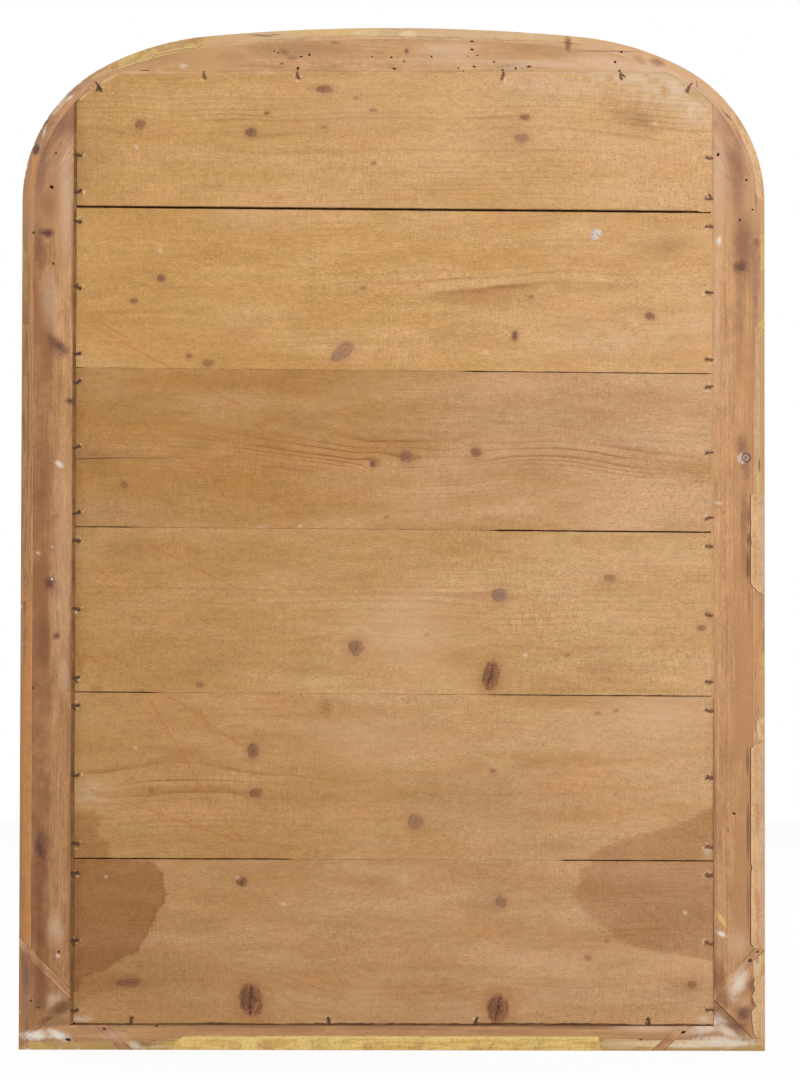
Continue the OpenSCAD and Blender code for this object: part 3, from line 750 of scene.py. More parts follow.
def boardFinish(number):
    values, paint, cover, light = boards[number], boardPaint, boardCover, boardLight
    tree = Tree(f"sawn_pine_{number}")
    x, y, z = tree.parts(tree.place)
    ring, figure = tree.field("ring"), tree.field("figure")
    # large drifts of tone: paler to the picture's right, streaked along the board
    drift = tree.swing((3.6, 3, 17), 5, roughness=0.66)
    side = tree.rise(x, 0.5, -0.5)
    paleness = (drift * 1.05 + side * 0.34 * values.get("right", 1) - 0.02).most(0)
    depth = (drift * -1.15 + (1 - side) * 0.16 * values["left"]).most(0)
    colour = tree.coat(tint(*values["tone"]), paint["pale"], paleness)
    colour = tree.coat(colour, paint["deep"], depth)
    warmth = tree.patchy(0.48, 0.72, (9, 9, 26), 4, roughness=0.65)
    colour = tree.coat(colour, paint["warm"], warmth * cover["warm"])
    # growth rings: pale wood that darkens and then breaks off at each ring
    wobble = tree.swing((9, 30, 30), 2)
    uneven = tree.add("TexNoise", {"noise_dimensions": "1D"}, {"W": ring * 0.45, "Scale": 1.0, "Detail": 1.0})
    saw = (ring * 0.62 + wobble * 0.4 + uneven * 1.3).part()
    late = tree.rise(saw, 0.5, 0.88) * tree.fall(saw, 0.9, 1.0)
    faded = tree.patchy(0.35, 0.62, (7, 7, 40), 3)
    patch = tree.patchy(0.45, 0.7, (4, 4, 9), 1)
    contrast = (figure * 1.1 + patch * 0.2 + 0.07).least(1.0) * (faded * 0.75 + 0.25)
    colour = tree.coat(colour, paint["latewood"], late * contrast)
    # fibres, saw marks and mottling
    fibre = tree.swing((22, 300, 640), 3)
    sawMarks = tree.swing((430, 60, 55), 2)
    sawPatch = tree.patchy(0.35, 0.62, 7, 2)
    mottle = tree.swing((75, 75, 130), 5, roughness=0.72)
    grit = tree.swing((430, 430, 860), 3, roughness=0.75)
    dashes = tree.swing((120, 300, 700), 3, roughness=0.7)
    blotch = tree.swing((20, 20, 55), 3)
    lightness = (1 + fibre * light["fibre"] + sawMarks * sawPatch * light["saw"] + mottle * light["mottle"]
                 + grit * light["grit"] + dashes * light["dashes"] + blotch * light["blotch"])
    colour = tree.shade(colour, lightness)
    spread = tree.patchy(0.36, 0.62, (11, 11, 16), 3)
    flecks = tree.patchy(0.58, 0.66, (230, 400, 720), 2) * (0.3 + spread * 0.7)
    colour = tree.coat(colour, paint["fleck"], flecks * cover["fleck"])
    # darker towards the boards' ends at the picture's left
    end = tree.rise(x + tree.swing(30, 4, roughness=0.65) * 0.03, 0.424, 0.447)  # at the picture's left
    colour = tree.dye(colour, paint["endTint"], end * values["endDarkness"])
    colour, cracks = knotShade(tree, colour, paint)
    # damp stains with a darker edge
    damp = tree.field("stain") + tree.swing((34, 34, 70), 5, roughness=0.7) * 20
    wet = tree.field("wet")
    soft = (1.1 - wet).most(0) * 10
    soaked = tree.rise(damp, -2.6 - soft, 3.2 + soft)
    tide = tree.between(damp, -0.2, 3.0, 2.0)
    colour = tree.dye(colour, paint["stain"], soaked * cover["stain"] * wet.most(0))
    colour = tree.dye(colour, paint["tide"], tide * cover["tide"] * wet.most(0))
    colour = tree.coat(colour, paint["pale"], soaked * (0 - wet).most(0))
    # smudges, washes and one painted highlight, crayon, and painted shade along the open joints and in the
    # split
    blot = tree.field("smudge").most(0) * (tree.patchy(0.34, 0.6, (110, 110, 240), 4) * 0.35 + 0.65)
    colour = tree.coat(colour, paint["dirt"], blot * cover["dirt"])
    colour = tree.coat(colour, paint["pale"], (0 - tree.field("smudge")).most(0) * cover["pale"])
    washAndGlint = tree.field("washAndGlint") * tree.patchy(0.25, 0.6, 60, 4)
    colour = tree.coat(colour, paint["chalk"], washAndGlint)
    stroke = 1 - tree.rise(abs(tree.field("crayon")), 0.35, 1.6)
    stroke = stroke * tree.patchy(0.22, 0.6, 60, 4, roughness=0.7)
    colour = tree.coat(colour, paint["crayon"], stroke * cover["crayon"])
    edge = tree.field("edge") + tree.swing(60, 3) * 3
    shut = tree.field("shut")
    # painted shade of the open joints, along the boards' edges, and of the split
    openJointShade = tree.fall(edge, -0.6, 1.6) * cover["joint"] * (1 - shut)
    split = (1 - tree.rise(abs(tree.field("split")), 0.15, 0.75)) * tree.rise(x, 0.28, 0.4)
    colour = tree.coat(colour, paint["gap"], openJointShade.most(split * cover["split"]))
    seam = tree.fall(edge, -0.2, 0.9) * shut * tree.patchy(0.35, 0.6, 30, 3)
    colour = tree.coat(colour, paint["shutLine"], seam * cover["topLine" if number == 6 else "shutLine"])
    nail = tree.field("nail") + tree.swing(140, 4, roughness=0.65) * 9
    colour = tree.coat(colour, paint["rust"], tree.fall(nail, 0.5, 4.5) * cover["rust"])
    chip = tree.patchy(0.56, 0.62, 170, 3) * tree.fall(tree.field("nail"), 5, 8)
    colour = tree.coat(colour, paint["chip"], chip * cover["chip"])
    specks = tree.add("TexVoronoi", None, {"Vector": tree.place, "Scale": 70.0, "Randomness": 1.0})
    chosen = tree.patchy(0.63, 0.66, 25, 0)
    colour = tree.coat(colour, paint["chalk"], tree.fall(specks, 0.03, 0.06) * chosen * cover["chalk"])
    height = fibre * 0.5 + sawMarks * sawPatch * 0.9 + grit * 0.8 - late * 0.2 - cracks * 1.2 + mottle * 0.5
    return tree.finish({
        "Base Color": colour, "Roughness": paint["roughness"] - late * 0.1 + mottle * 0.2,
        "Specular IOR Level": paint["specular"],
        "Normal": tree.bump(height, paint["bump"], paint["bumpDistance"]),
    })


for number in boards:
    sawnBoard(number)
print("backboards sawn")


# The frame's outline, for finishes and coats that follow it
arch = {
    "cornerRadius": 215 * mm, "shoulderRadius": 395 * mm,
    "shoulderAngle": 27, "crownHalfAngle": 5.3,  # degrees
    "stripWidth": 17 * mm, "stripBevel": 6 * mm,  # the crest's bevelled strip at the back
    "grain": {"stile": 90, "corner": 58, "shoulder": 16, "crown": 0, "rail": 0},  # degrees from level
    "blendReach": 90 * mm, "blendShare": 0.75,  # how far and how much two lengths share a tone at a joint
}


def archArcs(values):  # how far out each arc's centre lies, how high, and its radius
    corner, shoulder = values["cornerRadius"], values["shoulderRadius"]
    lean, half = math.radians(values["shoulderAngle"]), math.radians(values["crownHalfAngle"])
    step = shoulder - corner
    crown = shoulder + (halfWidth - corner - step * math.sin(lean)) / math.sin(half)
    shoulderX = (crown - shoulder) * math.sin(half)
    shoulderZ = frameHeight - crown + (crown - shoulder) * math.cos(half)
    return {
        "crown": (0, frameHeight - crown, crown), "shoulder": (shoulderX, shoulderZ, shoulder),
        "corner": (shoulderX + step * math.sin(lean), shoulderZ + step * math.cos(lean), corner),
    }


arcs = archArcs(arch)


def partOf(node):
    return next(part for part in arch["grain"] if part in node)


def armOf(node):  # the model's right is +1; a middle part counts as right
    return -1 if node.endswith("left") else 1


def polar(dx, dz):  # how far away, and at which angle from straight up
    if isinstance(dx, Wire):
        return (dx * dx + dz * dz).root(), dx.angle(dz)
    return np.hypot(dx, dz), np.arctan2(dx, dz)


def frameAt(part, arm, x, z):  # how far in from the outer edge, and how far along it
    if part == "stile":
        return halfWidth - x * arm, z
    if part == "rail":
        return z, x
    out, up, radius = arcs[part]
    far, angle = polar(x * arm - out, z - up)
    return radius - far, angle * radius


def worldAt(part, arm, inward, along):  # and back
    if part == "stile":
        return arm * (halfWidth - inward), along
    if part == "rail":
        return along, inward
    out, up, radius = arcs[part]
    return (arm * (out + (radius - inward) * np.sin(along / radius)),
            up + (radius - inward) * np.cos(along / radius))


def followFrame(tree, node):
    x, y, z = tree.parts(tree.place)
    return frameAt(partOf(node), armOf(node), x, z)


def grainOf(tree, degrees):  # place turned so that its first number runs along the grain
    return tree.add("VectorRotate", {"rotation_type": "Y_AXIS"},
                    {"Vector": tree.place, "Angle": math.radians(degrees)})


# Marks on the frame, in the picture's pixels: middle, half width, half height, strength, and tilt if any
frameMarks = {
    "knot": [
        (47, 233, 8, 5, 1.0, 10), (50, 583, 6, 8, 0.95, 20), (56.5, 636, 4.5, 3.5, 0.8, -20),
        (72, 401.5, 8, 4, 1.0, 15), (58, 345, 16, 6, 0.8, 42), (40, 848, 6, 14, 1.0, -12),
        (43, 838, 8, 13, 0.5), (741, 267, 8, 7, 0.85), (57, 516, 3, 2, 0.4, -30),
        (49.5, 523, 7, 7, 0.25, 30), (335, 42.7, 6, 2, 0.5, 5),
    ],
    "purple": [
        (60, 127, 13, 9, 0.25, -40), (42, 165, 6, 38, 0.45, 8), (38, 243, 5, 22, 0.5), (57, 350, 9, 9, 0.4),
        (54, 588, 7, 10, 0.35), (36, 149, 3.5, 6, 0.9, 15), (738, 180, 7, 50, 0.4), (743, 245, 11, 34, 0.6),
        (284.7, 52.6, 5, 3, 0.5, 20), (292, 58, 5, 4, 0.45), (406.4, 51.2, 2.5, 3, 0.8),
        (404, 61, 2, 2, 0.6), (744, 1014, 7, 9, 0.8, 30), (738, 1027, 10, 6, 0.7),
        (727, 1000, 5, 9, 0.4, 30), (735, 172, 4, 30, 0.3), (27, 970, 5, 26, 0.5), (45, 870, 4, 14, 0.35),
        (727.5, 115.5, 6, 1.0, 0.9, 48), (756, 192, 0.8, 22, 0.7), (744, 520, 4, 30, 0.45),
        (746, 468, 5, 14, 0.5), (742, 446, 6, 12, 0.5), (744, 556, 3, 20, 0.3), (740, 300, 5, 60, 0.3),
        (712, 700, 2, 40, 0.3),
    ],
    "tan": [
        (112, 86, 24, 8, 0.75, -35), (88, 110, 9, 12, 0.6, -20), (150, 66, 30, 5, 0.4, -8),
    ],
    "brown": [
        # the first seven, at x 748 beside the torn coats on the right, are painted shadow of the coats' edge
        (748.6, 515, 1.4, 12, 0.55), (748.4, 540, 1.8, 8, 0.85), (747.9, 566, 2.4, 17, 0.85),
        (749, 600, 1.4, 14, 0.4), (747.6, 760, 1.6, 18, 0.6), (748, 830, 1.8, 34, 0.75),
        (748, 900, 1.5, 30, 0.55), (719, 985, 9, 24, 0.6), (232, 57, 18, 6, 0.16),
        (750, 985, 6, 5, 0.5, 20), (730, 1018, 7, 4, 0.5, 40), (300, 1030, 26, 3, 0.2),
        (420, 1029, 40, 2.5, 0.25), (210, 1029, 22, 3, 0.25), (355, 1028, 30, 3, 0.25),
        (40, 880, 5, 44, 0.45), (500, 1032, 40, 3, 0.2), (590, 1027, 34, 2.5, 0.2),
        (738, 1010, 14, 5, 0.3, 45), (716, 1010, 7, 3, 0.4, -40), (48, 205, 9, 14, 0.3),
        (42, 255, 6, 20, 0.35), (548, 50, 46, 8, 0.22, 6), (302, 49, 56, 8, 0.28),
        (100, 1030, 34, 3.5, 0.25), (568, 44, 4, 11, 0.75), (52, 945, 8, 16, 0.25), (64, 915, 5, 16, 0.25),
        (40, 852, 6, 26, 0.5), (40, 980, 6, 26, 0.6), (27, 1030, 3, 16, 0.5), (46, 1020, 8, 3, 0.7, -25),
        (724, 1004, 10, 4, 0.3, 40), (742, 1036, 10, 3, 0.4, 30), (700, 1036, 20, 3, 0.35, -8),
        (752, 985, 3, 9, 0.6), (40, 939, 5, 12, 0.6), (41, 1002, 7, 9, 0.55), (62, 1007, 14, 7, 0.8, -30),
        (39, 953, 4, 6, 0.5), (145, 1045, 12, 3, 0.5), (657.7, 62, 9, 5, 0.55, 15),
        (640, 60, 8, 4, 0.3, 30), (44, 470, 8, 70, 0.35), (43, 640, 8, 30, 0.4), (755, 990, 4, 8, 0.5, 10),
        (754, 1001, 3.5, 8, 0.75), (738, 1004, 8, 4, 0.2, -20), (25, 555, 2, 60, 0.35),
        (757, 242, 4, 5, 0.5),
    ],
    "pale": [
        (66, 200, 7, 58, 0.5), (55, 930, 8, 18, 0.5), (53, 1000, 9, 7, 0.55, -30),
        (114, 1036, 14, 7, 0.4, 10), (716, 300, 5, 120, 0.25), (668, 82, 46, 12, 0.9, 26),
        (610, 64, 40, 8, 0.6, 8), (62, 560, 9, 90, 0.2), (718, 170, 8, 60, 0.45), (545, 64, 60, 4, 0.5, 3),
        (742, 1004, 8, 8, 0.4), (50, 300, 10, 30, 0.35), (448, 50, 28, 9, 0.55), (650, 1028, 34, 5, 0.7),
        (738, 944, 10, 16, 0.4), (64, 675, 5, 22, 0.35), (737, 982, 9, 15, 0.65, 30),
        (705, 112, 16, 12, 0.6, 40), (470, 62, 60, 5, 0.35), (700, 1030, 26, 8, 0.45),
    ],
    "white": [
        # (52, 579) is a painted glint on the knot beneath it
        (59, 464, 6, 3.5, 0.75, 40), (52, 579, 1.6, 1.6, 1.0), (36.5, 1035.5, 17, 6, 1.0),
        (58, 1035.5, 14, 6, 1.0, 20), (134, 1045, 9, 4, 0.7, 20), (719, 241, 3.5, 6, 0.75),
        (709, 860, 2, 30, 0.5), (721, 934, 6, 3, 0.9, 25), (708, 1024, 18, 9, 0.75, -20),
        (722, 1042, 38, 7, 0.85), (739, 984, 8, 18, 0.55, 25), (693, 92, 5, 3, 0.6, 20),
        (728, 1032, 16, 6, 0.6, 30), (690, 1046, 26, 3, 0.6), (70, 97, 6, 1.6, 0.9, -42),
        (44, 131, 1.5, 9, 0.7, 14), (718, 503, 5, 2, 0.45, 10), (38, 553, 3, 2, 0.5, 40),
        (183, 66, 5, 3, 0.4), (52, 547, 3, 2, 0.35, 20), (58, 956, 2.5, 2, 0.7), (512, 68, 18, 3, 0.2, -6),
    ],
    "hole": [
        (173, 81, 1, 1, 1), (56, 153, 1, 1, 1), (51.7, 187, 2.2, 1.8, 1, 30), (33.5, 232.6, 1.4, 1.4, 0.9),
        (53.4, 263.6, 1, 1.4, 1, -30), (144.7, 70.8, 5, 0.8, 0.8, -4), (104.3, 1029, 1.8, 1.2, 0.9),
        (156.5, 1026, 2, 0.9, 0.9), (154, 1040.5, 1, 1, 0.6), (683.3, 1032.2, 2.6, 1.3, 1, -15),
        (621.5, 51.7, 1.6, 1.1, 1, -20), (615, 62, 1.4, 1.4, 1), (619.4, 70.8, 1.2, 1.2, 1),
        (746.5, 180, 1.2, 1.2, 1), (752.6, 209.6, 1, 1, 1), (739.8, 220.1, 1.3, 1.3, 1),
        (718, 154.7, 1.4, 2, 1, 20), (734, 813.5, 2, 1, 1, 20), (752, 873, 1, 1, 0.8),
        (752.5, 880, 1.3, 1.3, 1), (758, 952, 1.2, 1.2, 1), (750, 960.5, 2.4, 2, 0.8, -30),
        (755.5, 782, 1.6, 2, 0.9), (33, 688, 1, 1, 1), (274.2, 51.2, 1.4, 0.8, 0.8, -20),
        (278.4, 52.6, 1, 1, 0.8), (301.1, 56.6, 1.7, 0.9, 1), (309.3, 54.9, 1.3, 1.2, 1),
        (281.6, 63.8, 2.4, 0.7, 0.7, -8), (298, 68.4, 1.3, 1.8, 1, 20), (372, 56.4, 0.9, 0.9, 1),
        (391.4, 57.3, 1.2, 1, 1), (394.2, 68.8, 2, 1, 1), (431.6, 56.6, 1, 1, 1), (472, 41.3, 2, 0.9, 1),
        (472, 49.5, 1.9, 1, 1, 5), (467.8, 56.2, 0.8, 0.6, 0.8), (477.3, 55.4, 1.5, 0.7, 0.8, -15),
        (474.1, 66.7, 1.9, 0.9, 1, 30), (458.4, 68, 1.2, 0.9, 0.8), (459, 71.8, 1.3, 0.9, 0.9),
        (463.2, 71, 0.9, 0.9, 0.9), (494.1, 61.9, 1.2, 1.2, 0.8), (502.6, 69.9, 1.4, 1, 1),
        (515.8, 68.4, 1, 1.3, 1), (528.9, 66.5, 2.4, 0.9, 1, -10), (262, 61.9, 0.8, 0.8, 0.5),
        (30.6, 1001, 1.2, 1, 1, 30), (38.3, 1007.8, 1.2, 1, 0.9), (58.8, 951.7, 1.1, 1.4, 1),
        (68, 1039.7, 3, 1.5, 1, 10), (640.8, 1039.3, 2, 1, 0.8), (728, 830, 0.9, 2.4, 0.5),
    ],
    "fresh": [(722, 920, 10, 2.6, 0.95, 59), (75, 735, 1.2, 5, 0.6)],
    "crack": [
        (607, 51, 34, 0.35, 0.9), (697, 84, 0.4, 5, 0.8), (262, 35.5, 13, 0.4, 0.7, 4),
        (275, 34, 6, 0.4, 0.8, 6), (570, 43, 14, 0.35, 0.6, 7), (727, 700, 0.3, 60, 0.25),
    ],
}
markLooks = {  # colour, how ragged the rim is, where the mark is full and where it ends
    "pale": ((222, 186, 156), 0.9, 0.2, 1.5), "tan": ((203, 159, 112), 0.9, 0.3, 1.5),
    "brown": ((116, 72, 44), 0.9, 0.3, 1.3),
    "purple": ((108, 68, 62), 0.8, 0.2, 1.45), "knot": ((98, 60, 50), 1.1, 0.15, 1.35),
    "white": ((236, 225, 212), 1.7, 0.15, 1.2), "hole": ((30, 18, 14), 0.25, 0.75, 1.15),
    "crack": ((52, 32, 22), 0.2, 0.6, 1.2), "fresh": ((226, 176, 108), 0.6, 0.55, 1.1),
}


def markRatio(tree, px, py, rx, ry, tilt=0):  # 0 in a mark's middle, 1 on its rim
    moved = tree.add("Mapping", {"vector_type": "TEXTURE"}, {
        "Vector": tree.place, "Location": tuple(eye.point(px, py)),
        "Rotation": (0, math.radians(-tilt), 0), "Scale": (rx * pixel, 25 * mm, ry * pixel)})
    return tree.length(moved)


def pictureBox(node):  # what a node takes up in the picture
    points = cadPoints(node)
    px, py = eye.picture(points[:, 0], points[:, 1], points[:, 2])
    return px.min(), px.max(), py.min(), py.max()


def marksIn(box, marks):  # those that reach into a box of the picture
    left, right, top, bottom = box
    return [mark for mark in marks if left - mark[2] < mark[0] < right + mark[2]
            and top - mark[3] < mark[1] < bottom + mark[3]]


def addMarks(tree, node, colour):  # the colour with the marks on it, and a height where they are sunk
    box = pictureBox(node)
    coarse = tree.swing(170, 3, roughness=0.65)
    sunk = None
    for kind, (paint, rough, full, gone) in markLooks.items():
        total = None
        for px, py, rx, ry, strength, *tilt in marksIn(box, frameMarks[kind]):
            ratio = markRatio(tree, px, py, rx, ry, *tilt)
            here = tree.rise(ratio + coarse * rough, gone, full) * strength
            total = here if total is None else total.most(here)
        if total is not None:
            colour = tree.mix(colour, tree.shade(tint(*paint)[:3], 1 + coarse * 0.5), total)
            if kind in ("hole", "crack"):
                sunk = total if sunk is None else sunk.most(total)
    return colour, (0 - sunk if sunk is not None else coarse * 0)


# Softwood that isn't sawn so rough as the boards: carcass, keys, tongues, packers and blocks
def softwood(tree, grain, tones, offset=0.0, worn=0.0):  # worn brings in rubbed and mottled patches
    shift = (offset, offset * 0.37, offset * 0.21)
    place = tree.add("VectorMath", {"operation": "ADD"}, {0: grain, 1: shift})
    along, deep, across = tree.parts(place)
    drift = tree.swing((1.6, 14, 30), 3, place, 0.55)
    wobble = tree.swing((1.1, 9, 9), 2, place)
    saw = ((across + deep * 0.4) / tones["ring"] + wobble * 7).part()
    late = tree.rise(saw, 0.35, 0.88) * tree.fall(saw, 0.9, 1.0)
    fibre = tree.swing((12, 260, 460), 3, place)
    mottle = tree.swing((50, 50, 90), 4, place, 0.7)
    colour = tree.coat(tint(*tones["tone"]), tones["pale"], (drift * 2.4).most(0))
    colour = tree.coat(colour, tones["deep"], (drift * -2.4).most(0))
    colour = tree.coat(colour, tones["late"], late * tones["figure"])
    grit = tree.swing((150, 400, 520), 3, place, 0.7)
    rough = mottle * 0.3
    if worn:
        blotch = tree.noise((15, 60, 110), 5, place, 0.68)
        colour = tree.coat(colour, tones["deep"], tree.fall(blotch, 0.34, 0.5) * worn)
        colour = tree.coat(colour, tones["pale"], tree.rise(blotch, 0.5, 0.66) * worn)
        rosy = tree.patchy(0.5, 0.66, (14, 20, 40), 4, place, 0.65)
        colour = tree.coat(colour, tones["rosy"], rosy * worn * 0.35)
        streak = tree.swing((12, 170, 280), 4, place, 0.62)
        patch = tree.swing((17, 22, 34), 5, place, 0.66)
        rough = mottle * 0.55 + streak * 0.5 + patch * 0.5 + grit * 0.8
    colour = tree.shade(colour, 1 + fibre * 0.2 + rough)
    return colour, fibre * 0.5 - late * 0.2 + mottle * 0.4 + grit * worn


carcassTones = table(("tone", "pale", "deep", "band"), {
    "stile_right": ((184, 136, 90), (202, 156, 114), (158, 110, 70), (144, 95, 60)),
    "corner_right": ((180, 132, 92), (202, 160, 130), (158, 110, 78), (154, 106, 78)),
    "shoulder_right": ((196, 150, 100), (210, 168, 122), (174, 126, 80), (188, 142, 98)),
    "crown": ((202, 158, 112), (216, 174, 130), (178, 132, 88), (196, 150, 104)),
    "shoulder_left": ((206, 164, 118), (222, 184, 146), (186, 140, 96), (200, 154, 110)),
    "corner_left": ((196, 150, 112), (212, 170, 134), (172, 124, 90), (166, 118, 88)),
    "stile_left": ((197, 148, 103), (208, 162, 118), (180, 130, 86), (184, 134, 90)),
    "bottom_rail": ((200, 155, 108), (216, 172, 126), (166, 120, 78), (184, 138, 94)),
})
carcassLook = {
    "late": (146, 96, 62), "rosy": (186, 126, 90), "figure": 0.18, "ring": 5.5 * mm, "worn": 0.6,
    "bandEnd": 39 * mm, "bandWaver": 20 * mm,  # of the darker stain beside the strip
    "seam": (70, 44, 30), "rebate": 72 * mm, "footRebate": 35 * mm, "roughness": 0.7, "specular": 0.28,
    "mitre": (52, 34, 26), "keyReach": 150 * mm, "keyHalf": 6 * mm,
    # lip: a darker band on the carcass beside the boards, painted shade with dirt; its tone, reach and amount
    "lip": {"stile_right": ((112, 74, 44), 3.6 * mm, 0.5), "stile_left": ((112, 76, 50), 7 * mm, 0.5),
            "bottom_rail": ((96, 62, 38), 4 * mm, 0.4)},
    "fall": {"stile_right": (0.90, 1.07), "stile_left": (0.97, 1.02)},  # lightness at the foot and the head
}


def towardsNeighbour(tree, node, colour, tones):  # one tone on both sides of each joint of the arch
    part, along = partOf(node), followFrame(tree, node)[1]
    joints = (("stile", "corner", 90), ("corner", "shoulder", arch["shoulderAngle"]),
              ("shoulder", "crown", arch["crownHalfAngle"]))
    for low, high, degrees in joints:
        for side, arm in (("right", 1), ("left", -1)):
            if part in (low, high) and (part == "crown" or armOf(node) == arm):
                pair = [tones[name if name == "crown" else f"{name}_{side}"]["tone"] for name in (low, high)]
                shared = [(a + b) / 2 for a, b in zip(*pair)]
                at = arcs["corner"][1] if part == "stile" else arcs[part][2] * math.radians(degrees)
                far = abs((along * arm if part == "crown" else along) - at)
                near = tree.fall(far, 0, arch["blendReach"])
                colour = tree.coat(colour, shared, near * arch["blendShare"])
    return colour


def carcassFinish(node, offset):
    look = carcassLook
    shared = {key: look[key] for key in ("late", "ring", "figure", "rosy")}
    tones = {**carcassTones[node.removeprefix("carcass_")], **shared}
    part, arm = partOf(node), armOf(node)
    tree = Tree(node.replace("carcass", "carcass_pine"))
    colour, height = softwood(tree, grainOf(tree, arch["grain"][part] * -arm), tones, offset, look["worn"])
    inward = followFrame(tree, node)[0]
    x, y, z = tree.parts(tree.place)
    # a darker stain beside the strip, with a wavering edge
    waver = tree.swing(9, 5, roughness=0.62)
    strength = tree.patchy(0.34, 0.62, 11, 5, roughness=0.66) * 0.75 + 0.15
    band = tree.fall(inward + waver * look["bandWaver"], look["bandEnd"], look["bandEnd"] + 8 * mm)
    colour = tree.coat(colour, tones["band"], band * strength)
    seam = tree.fall(inward, arch["stripWidth"] + 0.2 * mm, arch["stripWidth"] + 1.1 * mm)
    colour = tree.coat(colour, look["seam"], seam * (0.35 if part in ("stile", "rail") else 0.15))
    if part == "stile":  # darker at the foot
        low, high = look["fall"][node[8:]]
        colour = tree.shade(colour, low + (high - low) * tree.rise(z, 0.2, 1.05))
    colour = towardsNeighbour(tree, node, colour, carcassTones)
    if part in ("stile", "rail"):  # dirt along the boards and in the lower mitre
        # the band beside the boards is painted shade with dirt
        dirt, reach, amount = look["lip"][node[8:]]
        rebate = look["footRebate"] if part == "rail" else look["rebate"]
        lip = tree.rise(inward + waver * (14 * mm), rebate - reach, rebate)
        low = 1 - tree.rise(z + waver * 0.2, 0.38, 0.5) * (0 if arm > 0 else 0.85)
        colour = tree.coat(colour, dirt, lip * low * amount)
        across = abs(halfWidth - abs(x) - z)
        low = tree.fall(z, 0.12, 0.125)
        line = tree.fall(across, 0.5 * mm, 1.5 * mm) * low
        side = tree.rise(x, 0.1, -0.1) * 0.6 if part == "rail" else 0.6 * (arm < 0)
        colour = tree.coat(colour, look["mitre"], line * (0.25 + side))
    colour, sunk = addMarks(tree, node, colour)
    return tree.finish({
        "Base Color": colour, "Roughness": look["roughness"] + waver * 0.2,
        "Specular IOR Level": look["specular"],
        "Normal": tree.bump(height * 0.5 + sunk * 2, 0.5, 0.6 * mm),
    })


keyTones = table(("tone", "pale", "deep"), {
    "mitre_key_right": ((186, 136, 96), (208, 162, 124), (160, 108, 72)),
    "mitre_key_left": ((196, 148, 104), (212, 168, 126), (172, 122, 84)),
})
plainPine = {"tone": (204, 162, 112), "pale": (220, 182, 134), "deep": (180, 134, 86), "late": (158, 108, 66),
             "figure": 0.4, "ring": 3.5 * mm}


def keyFinish(node, offset):
    look = carcassLook
    tones = {**keyTones[node], "late": look["late"], "rosy": look["rosy"], "figure": 0.4, "ring": 3 * mm}
    tree = Tree(node + "_pine")
    colour, height = softwood(tree, grainOf(tree, 45 * armOf(node)), tones, offset, look["worn"])
    x, y, z = tree.parts(tree.place)
    across = abs(halfWidth - abs(x) + z - look["keyReach"]) / math.sqrt(2)  # dark along both of its edges
    edge = tree.rise(across, look["keyHalf"] - 1.8 * mm, look["keyHalf"] - 0.2 * mm)
    broken = tree.patchy(0.35, 0.6, 40, 3)
    colour = tree.coat(colour, look["seam"], edge * broken * 0.55)
    colour, sunk = addMarks(tree, node, colour)
    return tree.finish({
        "Base Color": colour, "Roughness": look["roughness"], "Specular IOR Level": look["specular"],
        "Normal": tree.bump(height * 0.5 + sunk * 2, 0.5, 0.6 * mm),
    })


def plainFinish(name, degrees):
    tree = Tree(name)
    colour, height = softwood(tree, grainOf(tree, degrees), plainPine)
    return tree.finish({"Base Color": colour, "Roughness": 0.75, "Specular IOR Level": 0.25,
                        "Normal": tree.bump(height, 0.4, 0.4 * mm)})


for count, node in enumerate(sorted(name for name in nodes if name.startswith("carcass"))):
    dress(node, carcassFinish(node, 0.7 + count * 1.3))
for count, node in enumerate(keyTones):
    dress(node, keyFinish(node, 3.1 + count * 2.2))
dress("loose_tongues", plainFinish("tongue_pine", 0))
dress("glass_packers", plainFinish("packer_pine", 0))
dress("glazing_blocks", plainFinish("block_pine", 90))
print("carcass finished")


# Gilding: old leaf over red bole and gesso, rubbed on what stands out and dusty in the hollows
giltLook = {
    "leaf": (214, 168, 88), "tarnished": (160, 112, 50), "bole": (126, 58, 38), "gesso": (226, 212, 190),
    "dust": (96, 76, 52), "leafSize": 78 * mm, "crackScale": 55.0, "roughness": 0.3, "specular": 0.4,
    "bump": 0.5 * mm, "crestTop": 4 * mm,  # how far below the crest's top it is rubbed
    "quirks": (32 * mm, 63 * mm, 94 * mm), "channel": (101.5 * mm, 115.5 * mm),
}


